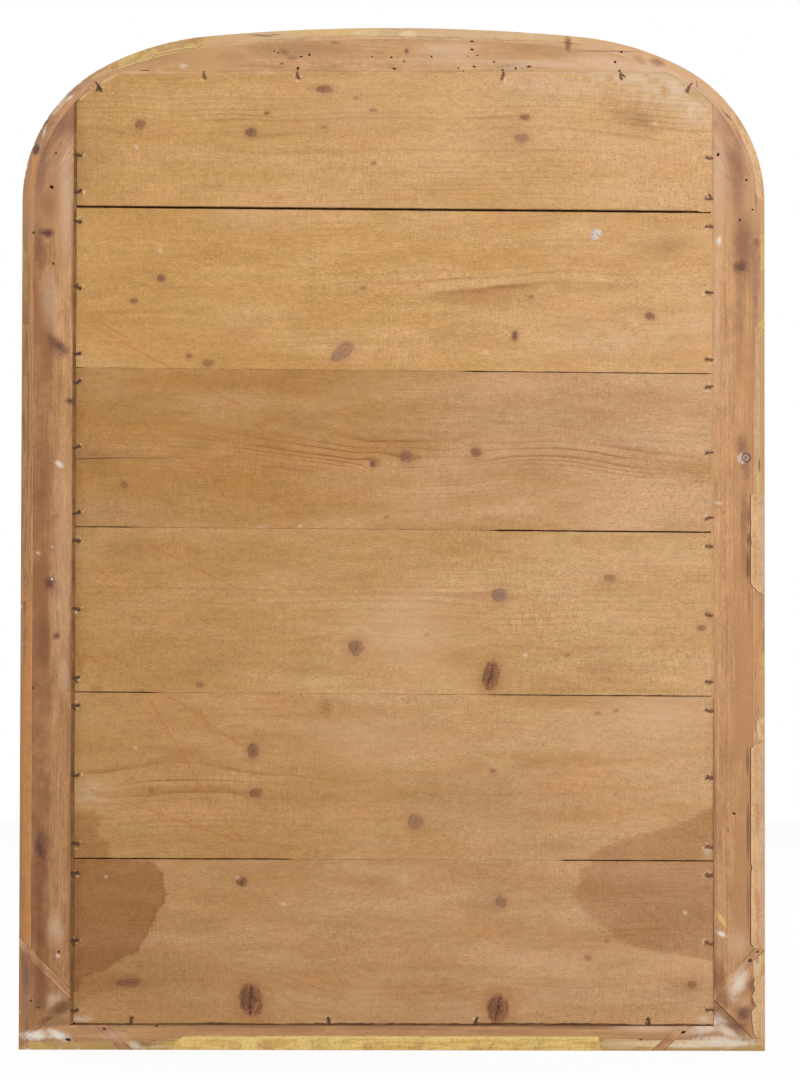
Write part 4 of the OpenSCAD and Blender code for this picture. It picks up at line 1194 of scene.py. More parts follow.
def giltCoat(tree, inward):  # its colour, metal, roughness and height
    look = giltLook
    x, y, z = tree.parts(tree.place)
    tarnish = tree.noise(13, 4, roughness=0.6)
    rub = tree.noise(48, 5, roughness=0.68)
    ridge = tree.fall(y, cadBox[0].y + 0.5 * mm, cadBox[0].y + look["crestTop"])
    rubbed = rub + ridge * 0.09
    colour = tree.coat(tint(*look["leaf"]), look["tarnished"], tree.rise(tarnish, 0.38, 0.72) * 0.7)
    laps = None
    for axis in (x, z):  # the squares that the leaf was laid in
        share = (axis / look["leafSize"] + (tarnish - 0.5) * 0.05).part()
        line = tree.fall(share.least(1 - share), 0.0, 0.012)
        laps = line if laps is None else laps.most(line)
    colour = tree.shade(colour, 1 - laps * 0.22)
    bole = tree.rise(rubbed, 0.585, 0.66)
    bare = tree.rise(rubbed, 0.69, 0.72)
    edge = tree.add("TexVoronoi", {"feature": "DISTANCE_TO_EDGE"},
                    {"Vector": tree.place, "Scale": look["crackScale"]})
    crack = tree.fall(edge, 0.0, 0.02) * tree.patchy(0.52, 0.62, 11, 2)
    dust = tree.patchy(0.3, 0.8, 90, 4) * 0.25
    if inward is not None:
        for quirk in look["quirks"]:
            dust = dust.most(tree.fall(abs(inward - quirk), 0.6 * mm, 2.4 * mm) * 0.75)
        low, high = look["channel"]
        dust = dust.most(tree.between(inward, low, high, 0.4 * mm) * 0.6)
    colour = tree.coat(colour, look["bole"], bole * 0.75)
    colour = tree.coat(colour, look["gesso"], bare)
    colour = tree.coat(colour, look["dust"], dust.most(crack * 0.8))
    metal = (1 - bole * 0.6) * (1 - bare) * (1 - dust * 0.8)
    rough = look["roughness"] + bole * 0.22 + bare * 0.4 + dust * 0.35 + tarnish * 0.12
    height = rub * 0.4 - bare * 0.5 - crack * 0.7
    return colour, metal, rough, height


def giltFinish(name, node=None):
    tree = Tree(name)
    inward = followFrame(tree, node)[0] if node else None
    colour, metal, rough, height = giltCoat(tree, inward)
    return tree.finish({"Base Color": colour, "Metallic": metal, "Roughness": rough,
                        "Specular IOR Level": giltLook["specular"],
                        "Normal": tree.bump(height, 0.45, giltLook["bump"])})


# Crest: its back is a strip of bare and painted wood, its side is ochre over gesso, its front is gilt.
# The strip's outer paint has a reach in mm and a share; ochre and gesso say how much of each is left.
strips = table(("tone", "deep", "inner", "outer", "reach", "outerShare", "ochre", "gesso"), {
    "stile_right": ((184, 132, 86), (158, 108, 66), (202, 144, 94), (158, 118, 74), 8.5, 0.6, 0.0, 0.12),
    "corner_right": ((190, 142, 104), (150, 106, 82), (212, 152, 102), (152, 114, 88), 7, 0.6, 0.15, 0.5),
    "shoulder_right": ((204, 160, 108), (180, 134, 84), (196, 148, 102), (200, 166, 104), 11, 0.6, 0.6, 0.3),
    "crown": ((208, 168, 124), (190, 146, 102), (204, 158, 112), (216, 182, 140), 10, 0.6, 0.12, 0.2),
    "shoulder_left": ((214, 170, 126), (196, 150, 108), (210, 165, 122), (210, 166, 120), 6, 0.4, 0.0, 0.15),
    "corner_left": ((208, 162, 120), (182, 134, 100), (196, 146, 112), (216, 172, 124), 8, 0.6, 0.1, 0.3),
    "stile_left": ((190, 145, 104), (162, 118, 80), (202, 156, 112), (194, 154, 106), 8, 0.6, 0.2, 0.2),
    "bottom_rail": ((188, 144, 98), (160, 116, 76), (182, 136, 92), (206, 172, 104), 11, 0.5, 0.3, 0.3),
})
stripLook = {
    # line is a painted highlight along the strip's inner edge
    "ochre": (208, 174, 100), "gesso": (232, 218, 198), "ochreSide": (196, 158, 92), "line": (222, 172, 126),
    "wood": (150, 104, 64), "late": (146, 96, 60), "figure": 0.3, "ring": 3.4 * mm, "roughness": 0.62,
    "fleckReach": 2.2 * mm, "highlightWidth": 0.9 * mm, "outerWaver": 16 * mm, "bump": 0.6 * mm, "worn": 0.6,
}
stripMarks = {  # as the frame's marks, but only on the strip
    "dusk": [
        (754, 250, 7, 80, 0.7), (752, 345, 3, 70, 0.5), (29, 225, 4, 26, 0.3), (751.5, 440, 2, 55, 0.5),
        (762, 560, 2, 70, 0.5), (28, 985, 8, 34, 0.6), (748, 190, 6, 30, 0.4),
    ],
    "russet": [(30, 770, 8, 190, 0.85), (29, 930, 8, 40, 0.6)],
    "orange": [
        (33.5, 190, 2.6, 62, 0.8), (33.4, 650, 1.6, 60, 0.5), (31, 872, 5, 40, 0.35),
        (757, 165, 4, 40, 0.5, -12), (757, 655, 5, 60, 0.45), (757, 250, 3, 60, 0.35),
        (33, 500, 2.5, 90, 0.4),
    ],
    "ochre": [
        (146, 55, 30, 7, 0.75, -20), (190, 43, 24, 4, 0.5, -10), (186, 1042, 14, 9, 0.6, 30),
        (390, 1043, 215, 4.5, 0.95), (25.5, 250, 3.5, 60, 0.3), (759, 500, 2, 40, 0.5),
        (760, 850, 3, 80, 0.5), (757, 1014, 4, 12, 0.6), (330, 31, 60, 4, 0.4), (758, 905, 5, 36, 0.5),
    ],
    "cream": [
        (408, 33.5, 9, 3.6, 0.65), (688, 1044, 70, 4, 0.95), (622, 1043, 22, 7, 0.5),
        (757, 960, 5, 22, 0.5), (757, 420, 3, 80, 0.2), (760, 730, 4, 10, 0.5, 20),
        (60, 105, 14, 3, 0.5, -50), (104, 72, 16, 2.2, 0.7, -28), (366, 33, 14, 4, 0.35),
        (150, 1047, 30, 1.5, 0.5), (757, 985, 3, 6, 0.5), (28, 945, 5, 8, 0.6, 40), (759, 925, 2, 5, 0.7),
    ],
    "dark": [
        (25, 215, 4, 36, 0.5), (36, 149, 3.5, 6, 0.8, 15), (26, 300, 4, 60, 0.3), (759.6, 465, 1.2, 7, 0.6),
        (762, 498, 1.5, 4, 0.7), (755.5, 782, 1.6, 2, 0.9), (764, 895, 0.8, 8, 0.6),
        (763.6, 640, 0.8, 14, 0.5), (45, 122, 5, 1.6, 0.6, -52), (120, 64.5, 8, 1.1, 0.6, -22),
        (24, 590, 2, 24, 0.5), (29, 645, 6, 26, 0.4), (29, 795, 6, 24, 0.4), (29, 885, 6, 32, 0.3),
        (29, 480, 6, 34, 0.4), (25, 966, 4, 24, 0.5), (262, 34.6, 13, 0.7, 0.5, 4), (757.5, 960, 2, 5, 0.4),
    ],
}
stripPaints = {"orange": (208, 142, 82), "ochre": (218, 184, 104), "cream": (232, 204, 160),
               "dark": (92, 66, 44), "dusk": (158, 112, 86), "russet": (194, 130, 74)}


def crestFinish(node, offset):
    values, look = strips[node.removeprefix("crest_moulding_")], stripLook
    part, arm = partOf(node), armOf(node)
    tree = Tree(node)
    inward = followFrame(tree, node)[0]
    x, y, z = tree.parts(tree.place)
    leaf, metal, rough, giltHeight = giltCoat(tree, None)
    tones = {"tone": values["tone"], "pale": values["inner"], "deep": values["deep"], "late": look["late"],
             "figure": look["figure"], "ring": look["ring"], "rosy": carcassLook["rosy"]}
    colour, height = softwood(tree, grainOf(tree, arch["grain"][part] * -arm), tones, offset, look["worn"])
    waver = tree.swing(24, 4, roughness=0.6)
    reach = values["reach"] * mm
    outer = tree.fall(inward + waver * look["outerWaver"], reach, reach + 1.2 * mm)
    colour = tree.coat(colour, values["outer"], outer * values["outerShare"])
    bare = 0.72 - values["ochre"] * 0.32
    coat = tree.rise(tree.noise(17, 5, roughness=0.62) + outer * 0.05, bare, bare + 0.025)
    colour = tree.coat(colour, look["ochre"], coat * 0.8)
    box = pictureBox(node)
    torn = tree.swing(120, 4, roughness=0.65)
    for kind, paint in stripPaints.items():
        for px, py, rx, ry, strength, *tilt in marksIn(box, stripMarks[kind]):
            here = tree.rise(markRatio(tree, px, py, rx, ry, *tilt) + torn * 0.7, 1.15, 0.75)
            colour = tree.mix(colour, tree.shade(tint(*paint)[:3], 1 + torn * 0.7), here * strength)
    clear = values["gesso"] * 0.2
    flecks = tree.patchy(0.64 - clear, 0.68 - clear, 70, 4, roughness=0.7)
    nearEdge = tree.fall(inward, 0, look["fleckReach"]) + 0.12
    colour = tree.coat(colour, look["gesso"], flecks * nearEdge)
    colour = towardsNeighbour(tree, node, colour, strips)
    # a painted highlight along the strip's inner edge
    width, wide = arch["stripWidth"], look["highlightWidth"]
    line = tree.rise(inward, width - wide * 1.6, width - wide * 0.5)
    colour = tree.coat(colour, look["line"], line * tree.rise(waver, -0.12, 0.1) * 0.6)
    colour, sunk = addMarks(tree, node, colour)
    # the side: ochre, chipped to gesso and to wood
    chips = tree.noise(36, 5, roughness=0.7)
    side = tree.coat(tint(*look["ochreSide"]), look["gesso"], tree.rise(chips, 0.62, 0.65))
    side = tree.coat(side, look["wood"], tree.rise(chips, 0.7, 0.73))
    side = tree.shade(side, 0.78 + tree.noise(9, 3) * 0.5)
    bevel = backY - arch["stripBevel"]
    atBack = tree.rise(y, bevel - 0.4 * mm, bevel - 0.1 * mm)
    atSide = tree.fall(inward, 0.2 * mm, 0.5 * mm) * (1 - atBack)
    painted = atBack.most(atSide)
    colour = tree.mix(tree.mix(leaf, side, atSide), colour, atBack)
    paintHeight = height * 0.6 + sunk * 2 + coat * 0.6 + flecks * nearEdge
    return tree.finish({
        "Base Color": colour, "Metallic": metal * (1 - painted),
        "Roughness": rough * (1 - painted) + painted * look["roughness"], "Specular IOR Level": 0.35,
        "Normal": tree.bump(giltHeight * (1 - painted) + paintHeight * painted, 0.5, look["bump"]),
    })


for count, name in enumerate(strips):
    dress("crest_moulding_" + name, crestFinish("crest_moulding_" + name, 0.4 + count * 1.7))
    gilt = giltFinish("old_gilding_" + name, "ogee_moulding_" + name)
    dress("ogee_moulding_" + name, gilt)
    dress("pearl_slip_" + name, gilt)
pearlGilt = giltFinish("old_gilding_pearls")
for side in ("left", "right", "crown", "bottom"):
    dress("pearls_" + side, pearlGilt)
print("mouldings finished")

# Glass: an old silvered plate, foxed towards its edges, with painted backing
plateLook = {
    "silver": (228, 232, 230), "foxing": (88, 74, 58), "roughness": 0.03, "inset": 123 * mm, "reach": 60 * mm,
    "backing": (92, 48, 36), "backingWorn": (126, 78, 58),
}


def plateFinish(look):
    tree = Tree("silvered_plate")
    x, y, z = tree.parts(tree.place)
    crownFall = x * x / (2 * arcs["crown"][2])
    inward = (halfWidth - abs(x)).least(z).least(frameHeight - crownFall - z) - look["inset"]
    near = tree.fall(inward, 0, look["reach"])
    spots = tree.noise(95, 5, roughness=0.72)
    cloud = tree.noise(7, 4, roughness=0.6)
    foxed = tree.rise(spots * 0.7 + near * 0.3 + (cloud - 0.5) * 0.3, 0.58, 0.68)
    veil = tree.rise(cloud, 0.45, 0.8) * 0.12
    colour = tree.coat(tint(*look["silver"]), look["foxing"], foxed * 0.85)
    return tree.finish({"Base Color": colour, "Metallic": 1 - foxed * 0.5,
                        "Roughness": look["roughness"] + foxed * 0.4 + veil * 0.3, "Coat Weight": 1.0,
                        "Coat Roughness": 0.02})


def backingFinish(look):
    tree = Tree("mirror_backing_paint")
    worn = tree.patchy(0.5, 0.62, 30, 5, roughness=0.65)
    colour = tree.coat(tint(*look["backing"]), look["backingWorn"], worn)
    brush = tree.noise((6, 40, 240), 2)
    return tree.finish({"Base Color": colour, "Roughness": 0.8, "Normal": tree.bump(brush, 0.3, 0.2 * mm)})


dress("mirror_glass", plateFinish(plateLook))
dress("silvering", backingFinish(plateLook))
print("glass silvered")


# Dust, splinters and old glue in the corner between the boards and the frame
gapDust = {
    "step": 3 * mm, "clear": 0.1 * mm, "rough": 0.22 * mm, "slot": "board_pine",
    "filmSpan": (-0.12, -0.3),  # where along x a film of chalk comes in, if a side has one
    # For each side: where it runs, how many mm below the frame's back it lies beside the frame and at
    # the boards and where it ends underneath, how wide it is, and its tones
    "left": {"ends": (36 * mm, 1325 * mm), "below": (0.5, 2.1, 13.8), "wide": 3.8 * mm,
             "tones": ((116, 82, 48), (146, 108, 66))},
    "foot": {"ends": (-447 * mm, 444 * mm), "below": (0.6, 2.3, 13.8), "wide": 2.8 * mm,
             "tones": ((92, 62, 38), (126, 88, 58))},
    "head": {"ends": (-447 * mm, 443 * mm), "below": (0.1, 2.5, 3.2), "wide": 4.6 * mm, "film": 0.35,
             "tones": ((196, 150, 102), (218, 178, 134))},
    "right": {"ends": (490 * mm, 1321 * mm), "below": (0.1, 2.5, 3.2), "wide": 3.4 * mm,
              "tones": ((206, 158, 110), (220, 176, 130))},
}


def sealed(grid, under):  # a closed mesh from a grid of top points and the points under them
    rows, columns = grid.shape[:2]
    place = np.arange(rows * columns).reshape(rows, columns)
    loop = np.concatenate([place[:, 0], place[-1, 1:], place[-2::-1, -1], place[0, -2:0:-1]])
    quads = np.stack([place[:-1, :-1], place[:-1, 1:], place[1:, 1:], place[1:, :-1]], -1).reshape(-1, 4)
    low = rows * columns
    sides = np.stack([loop, np.roll(loop, -1), np.roll(loop, -1) + low, loop + low], -1)
    points = np.concatenate([grid.reshape(-1, 3), under.reshape(-1, 3)])
    faces = np.concatenate([quads[:, ::-1], quads + low, sides[:, ::-1]])
    return points, faces.tolist()


def outwards(mesh):  # faces turned to look out of a closed mesh
    shape = bmesh.new()
    shape.from_mesh(mesh)
    bmesh.ops.recalc_face_normals(shape, faces=shape.faces)
    shape.to_mesh(mesh)
    shape.free()
    return mesh


def pocketEdge(side, ends, step):  # points along the edge of the boards' pocket, and the way in from it
    along = np.arange(*ends, step)
    level, wall = np.zeros_like(along), halfWidth - plank["pocket"]
    if side == "head":
        line = np.stack([along, edgesOf("backboard_6")[3](along) + plank["topGap"]], -1)
        ahead = np.gradient(line, axis=0)
        ahead /= np.linalg.norm(ahead, axis=1)[:, None]
        return line, np.stack([ahead[:, 1], -ahead[:, 0]], -1)
    if side == "foot":
        return np.stack([along, level + carcassLook["footRebate"]], -1), np.stack([level, level + 1], -1)
    arm = 1 if side == "left" else -1
    return np.stack([level + wall * arm, along], -1), np.stack([level - arm, level], -1)


def packGap(side, values):
    own = values[side]
    line, inward = pocketEdge(side, own["ends"], values["step"])
    share = np.linspace(0, 1, 5)[None, :]
    across = values["clear"] + share * own["wide"]
    places = line[:, None, :] + inward[:, None, :] * across[..., None]
    count = np.arange(len(line))[:, None] * values["step"]
    high, low, floor = [below * mm for below in own["below"]]
    waves = wander(301, 0.011)(count) + wander(302, 0.005)(count + share * 0.7) * 0.8
    heights = backY - high - (low - high) * share ** 0.8 + values["rough"] * waves * (share > 0)
    top = np.stack([places[..., 0], heights, places[..., 1]], -1)
    under = top.copy()
    under[..., 1] = backY - floor
    mesh = outwards(newMesh("gap_dust_" + side, *sealed(top, under), 75))
    tree = Tree("packed_dust_" + side)
    lumps = tree.patchy(0.35, 0.7, 45, 5, roughness=0.65)
    dark, light = [tint(*tone) for tone in own["tones"]]
    height = tree.noise(500, 3)
    film = tree.rise(tree.parts(tree.place)[0], *values["filmSpan"]) * own.get("film", 0)
    colour = tree.mix(tree.mix(dark, light, lumps), tint(*boardPaint["chalk"]), film)
    finish = tree.finish({"Base Color": colour, "Roughness": 0.9,
                          "Specular IOR Level": 0.15, "Normal": tree.bump(height, 0.6, 0.3 * mm)})
    return addPiece("gap_dust_" + side, mesh, finish)


for side in ("left", "foot", "head", "right"):
    packGap(side, gapDust)

# Torn gesso and paint that still hang on the crest's strip, as thin skins with a ragged inner
# edge. The edge's points are places in the picture.
skinLook = {
    "thick": 0.45 * mm, "curl": 0.25 * mm, "step": 1.4 * mm, "columns": 6, "wall": 2.2 * mm,
    "start": 0.4 * mm,
    "ragged": 0.8 * mm, "buried": 0.4 * mm, "taper": 3 * mm, "highest": 0.7 * mm, "slot": "gilding",
    "streaks": {"stile": (240, 60, 22), "rail": (22, 60, 240), "corner": (70, 60, 70),
                "shoulder": (60, 60, 90)},
    # the wall's tone; the dark ones are painted shadow along the torn edge
    "wallShadeTone": {"cream": (112, 64, 38), "ochre": (196, 158, 100), "dull": (172, 130, 82),
                 "olive": (156, 112, 72)},
    "rubbed": (204, 166, 138),  # the cream coat's outer part
}
# a skin's own wall tone, where dark, is painted shadow along its torn edge
skins = {
    "right_upper": {"part": "stile", "arm": -1, "paint": "cream", "edge": [
        (757, 491), (753.8, 493.6), (750.5, 495), (750.3, 508), (751.6, 520), (750.2, 531), (752, 544),
        (749.8, 547), (750.4, 560), (750.2, 574), (749.2, 580), (753, 585), (757, 590), (761, 594),
    ]},
    "right_flake": {"part": "stile", "arm": -1, "paint": "cream", "wall": (160, 108, 72), "edge": [
        (762, 716), (757.5, 721), (757, 728), (758.5, 736), (757.6, 739), (761, 741)]},
    "right_lower": {"part": "stile", "arm": -1, "paint": "cream", "edge": [
        (757, 742), (749.7, 750), (748.5, 760), (748.6, 772), (749, 792), (751.5, 800), (752, 806),
        (748.7, 815), (748.6, 830), (748.5, 855), (750, 862), (752.5, 868), (752, 873), (749.5, 885),
        (749, 900), (749.3, 920), (749.5, 942), (753, 946), (758, 950),
    ]},
    "right_foot": {"part": "stile", "arm": -1, "paint": "cream", "wall": (140, 92, 60), "edge": [
        (756, 975), (754, 985), (756.5, 990), (753, 996), (755, 1003), (757, 1006), (752.5, 1012),
        (752.8, 1025), (754, 1034), (760, 1040),
    ]},
    "right_corner": {"part": "corner", "arm": -1, "paint": "cream", "wall": (196, 150, 112), "edge": [
        (729, 110), (736, 124), (744, 140), (750, 155), (754.5, 172), (757, 190), (758, 200)]},
    "rail_ochre": {"part": "rail", "arm": 1, "paint": "ochre", "edge": [
        (172, 1050), (176, 1043), (180, 1038.5), (190, 1036.8), (260, 1037), (340, 1036.3), (420, 1037.2),
        (500, 1036.4), (560, 1037), (597, 1036.5), (600, 1040), (601, 1050),
    ]},
    "shoulder_ochre": {"part": "shoulder", "arm": 1, "paint": "dull", "edge": [
        (112, 73), (120, 68), (134, 63.5), (150, 60), (154, 55), (165, 52), (180, 49.5), (196, 47),
        (204, 42),
    ]},
    "left_olive": {"part": "stile", "arm": 1, "paint": "olive", "edge": [
        (26, 322), (29, 335), (30.5, 360), (31, 400), (30.8, 440), (31.5, 455), (29.5, 470),
        (30, 505), (28.5, 530), (27, 545), (28, 565), (30, 575), (30.5, 590), (30, 601), (25, 602)]},
}
skinPaints = {  # the coat, what shows through it, and its torn edge
    "cream": ((214, 174, 129), (201, 157, 106), (228, 197, 156)),
    "ochre": ((238, 208, 132), (220, 182, 104), (232, 204, 136)),
    "dull": ((210, 174, 112), (190, 152, 98), (222, 190, 140)),
    "olive": ((176, 130, 86), (148, 106, 70), (200, 150, 100)),
}


def skinFinish(name, values):
    tree = Tree("torn_coat_" + name)
    paint, streaks = values["paint"], skinLook["streaks"][values["part"]]
    coat, through, torn = [tint(*tone) for tone in skinPaints[paint]]
    tear = tree.field("tear")
    patch = tree.patchy(0.42, 0.6, streaks, 5, roughness=0.65)
    grit = tree.swing(300, 4, roughness=0.7)
    colour = tree.mix(coat, through, patch * tree.rise(tear, 0.5, 3))
    colour = tree.mix(colour, torn, tree.fall(tear + grit * 3, 0.4, 2.2) * 0.45)
    rosy = tree.patchy(0.5, 0.62, (30, 30, 12), 4, roughness=0.65) * tree.rise(tear, 4, 8)
    colour = tree.coat(colour, carcassLook["rosy"], rosy * 0.5)
    outer = tree.rise(tear + grit * 4, 9, 15) * (paint == "cream")
    colour = tree.coat(colour, skinLook["rubbed"], outer * 0.6)
    worn = tree.patchy(0.6, 0.66, 90, 5, roughness=0.72)
    colour = tree.coat(colour, stripLook["wood"], worn * 0.4)
    colour = tree.shade(colour, 1 + grit * 0.8 + tree.swing(45, 4, roughness=0.65) * 0.5)
    # the wall, the torn edge's side, takes a tone that is painted shadow where it is dark
    wall = tint(*values.get("wall", skinLook["wallShadeTone"][paint]))
    colour = tree.mix(colour, wall, tree.fall(tear, -0.3, 0.0))
    return tree.finish({"Base Color": colour, "Roughness": 0.68, "Specular IOR Level": 0.3,
                        "Normal": tree.bump(grit * 0.6 - worn * 0.5, 0.5, 0.4 * mm)})


def addSkin(name, values, finish, seed):
    look = skinLook
    part, arm = values["part"], values["arm"]
    spots = np.array([eye.point(px, py) for px, py in values["edge"]])
    u, s = frameAt(part, arm, spots[:, 0], spots[:, 2])
    order = s.argsort()
    rows = np.arange(s.min(), s.max(), look["step"])
    taper = smooth(np.minimum(rows - rows[0], rows[-1] - rows) / look["taper"])
    reach = np.interp(rows, s[order], u[order])
    reach += look["ragged"] * (wander(seed, 0.006)(rows) + wander(seed + 1, 0.0025)(rows) * 0.6)
    reach = np.clip(reach, look["start"] + 1.2 * mm, arch["stripWidth"] + 2.5 * mm)
    reach = look["start"] + 0.6 * mm + (reach - look["start"] - 0.6 * mm) * taper
    share = np.linspace(0, 1, look["columns"])[None, :] ** 0.7
    body = look["start"] + (reach[:, None] - look["start"]) * share
    across = np.concatenate([body, reach[:, None] + look["wall"]], 1)
    lift = look["thick"] * (0.25 + 0.75 * share ** 2) * (0.8 + 0.3 * wander(seed + 2, 0.02)(rows))[:, None]
    lift += look["curl"] * share ** 4 * (1 + wander(seed + 3, 0.011)(rows))[:, None]
    lift = np.concatenate([lift * (0.15 + 0.85 * taper[:, None]), np.full((len(rows), 1), -0.1 * mm)], 1)
    tear = np.concatenate([(reach[:, None] - body) / mm, np.full((len(rows), 1), -1.0)], 1)
    surface = backY - arch["stripBevel"] * np.clip(1 - across / arch["stripWidth"], 0, 1)
    x, z = worldAt(part, arm, across, np.broadcast_to(rows[:, None], across.shape))
    top = np.stack([x, np.minimum(surface + lift, backY + look["highest"]), z], -1)
    under = np.stack([x, surface - look["buried"], z], -1)
    mesh = newMesh(name, *sealed(top, under), sharp=50)
    addFields(mesh, {"tear": np.concatenate([tear.ravel(), tear.ravel()])})
    return addPiece(name, outwards(mesh), finish)


for count, (name, values) in enumerate(skins.items()):
    addSkin("coat_" + name, values, skinFinish(name, values), 400 + count * 10)
print("torn coats laid")


# Small things that stick to the back: each a low mound at a place in the picture
smallThings = {
    "putty_smear": {
        "place": (742.4, 458.5), "on": backY, "radii": (7.2 * mm, 7.6 * mm), "rise": 0.35 * mm,
        "ragged": 0.16, "material": "old_putty", "tones": ((208, 184, 164), (170, 126, 94)),
        "slot": "gilding",
    },
    "slotted_screw": {
        "place": (746, 457.5), "on": backY, "radii": (7.2 * mm, 7.2 * mm), "rise": 0.45 * mm, "flat": 0.85,
        "ragged": 0.02, "dirt": ((128, 98, 82), (96, 66, 50)), "bright": (206, 186, 172), "cut": (78, 58, 50),
        "cutTurn": 0.5, "slot": "nail_iron",
    },
    "nail_head": {
        "place": (172.5, 55), "on": backY - 1.4 * mm, "radii": (2.7 * mm, 2.7 * mm), "rise": 0.6 * mm,
        "flat": 0.6, "ragged": 0.05, "sectors": 16, "material": "grey_nail", "grain": 500.0,
        "tones": ((98, 100, 112), (62, 54, 54)), "slot": "nail_iron",
    },
    "plaster_lump": {
        "place": (596, 234), "on": backY - 2 * mm, "radii": (8.2 * mm, 8.4 * mm), "rise": 1.6 * mm,
        "flat": 0.6, "ragged": 0.09, "rings": 9, "material": "old_plaster",
        "tones": ((214, 200, 190), (170, 140, 112)), "slot": "gilding",
    },
}


def mound(name, values, finish, seed):
    rng = np.random.default_rng(seed)
    on, rise, ragged, flat = values["on"], values["rise"], values["ragged"], values.get("flat", 0.5)
    rings, sectors = values.get("rings", 6), values.get("sectors", 28)
    wide, high = values["radii"]
    spot = eye.point(*values["place"], on)
    angles = np.arange(sectors) * 2 * math.pi / sectors
    waves = sum(rng.uniform(-1, 1) * np.sin(angles * k + rng.uniform(0, 6.3)) / k ** 0.5
                for k in (2, 3, 5, 7))
    rim = 1 + ragged * waves
    points = [(spot.x, on + rise, spot.z)]
    for ring in range(1, rings + 1):
        share = ring / rings
        height = rise * (1 - max(0, (share - flat) / (1 - flat)) ** 2)
        for angle, reach in zip(angles, rim):
            jitter = rng.uniform(-0.12, 0.12) * rise * (ring < rings) * (ragged > 0.03)
            points.append((spot.x + wide * share * reach * math.cos(angle), on + height + jitter,
                           spot.z + high * share * reach * math.sin(angle)))
    for angle, reach in zip(angles, rim):  # the foot, just under the surface
        points.append((spot.x + wide * reach * math.cos(angle), on - 0.3 * mm,
                       spot.z + high * reach * math.sin(angle)))
    faces = []
    for j in range(sectors):
        k = (j + 1) % sectors
        faces.append((0, 1 + j, 1 + k))
        for ring in range(rings):
            a, b = 1 + ring * sectors, 1 + (ring + 1) * sectors
            faces.append((a + j, b + j, b + k, a + k))
    faces.append(tuple(range(1 + rings * sectors, 1 + (rings + 1) * sectors)))
    return addPiece(name, outwards(newMesh(name, points, faces, 60)), finish)


def lumpFinish(values):
    tree = Tree(values["material"])
    lumps = tree.noise(values.get("grain", 220.0), 5, roughness=0.7)
    pale, dark = values["tones"]
    colour = tree.coat(tint(*pale), dark, tree.rise(lumps, 0.45, 0.68))
    return tree.finish({"Base Color": colour, "Roughness": 0.85, "Normal": tree.bump(lumps, 0.7, 0.5 * mm)})


def screwFinish(values):
    tree = Tree("slotted_screw")
    spot = eye.point(*values["place"])
    x, y, z = tree.parts(tree.place)
    dx, dz = x - spot.x, z - spot.z
    far = (dx * dx + dz * dz).root()
    turn = values["cutTurn"]
    cut = 1 - tree.rise(abs(dx * math.cos(turn) + dz * math.sin(turn)), 0.3 * mm, 0.6 * mm)
    cut = cut * tree.fall(far, 4.2 * mm, 4.6 * mm)
    rust = tree.patchy(0.42, 0.62, 420, 3, roughness=0.65)
    ring = tree.between(far, 2.6 * mm, 4.2 * mm, 0.6 * mm) * 0.75
    bright = tree.fall(far, 0.9 * mm, 1.6 * mm).most(ring)
    inner, outer = values["dirt"]
    dirt = tree.coat(tint(*inner), outer, tree.rise(far, 4.4 * mm, 6 * mm) * 0.8)
    colour = tree.coat(dirt, values["bright"], bright * (1 - rust * 0.35))
    colour = tree.coat(colour, values["cut"], cut * 0.7)
    return tree.finish({"Base Color": colour, "Metallic": bright * 0.3, "Roughness": 0.5 + rust * 0.3,
                        "Normal": tree.bump(0 - cut, 0.8, 0.8 * mm)})


for count, (name, values) in enumerate(smallThings.items()):
    finish = screwFinish(values) if name == "slotted_screw" else lumpFinish(values)
    mound(name, values, finish, 61 + count)
print("small things set")


def bands(start, rings, sides):  # faces between rings of points
    return [(low + j, low + (j + 1) % sides, low + sides + (j + 1) % sides, low + sides + j)
            for low in range(start, start + rings * sides, sides) for j in range(sides)]


def tubeAlong(path, halves, flat):  # rings of a flattened bar along a path, closed at both ends
    points, sides = [], nailForm["sides"]
    for i, spot in enumerate(path):
        ahead = np.array(path[min(i + 1, len(path) - 1)]) - np.array(path[max(i - 1, 0)])
        ahead = ahead / np.linalg.norm(ahead)
        side = np.cross(ahead, (0, 1, 0.02))
        side = side / np.linalg.norm(side)
        rise = np.cross(side, ahead)
        for j in range(sides):
            angle = 2 * math.pi * (j + 0.5) / sides
            points.append(np.array(spot) + side * halves[i] * math.cos(angle)
                          + rise * halves[i] * flat * math.sin(angle))
    faces = bands(0, len(path) - 1, sides)
    faces.append(tuple(range(sides))[::-1])
    faces.append(tuple(range((len(path) - 1) * sides, len(path) * sides)))
    return points, faces


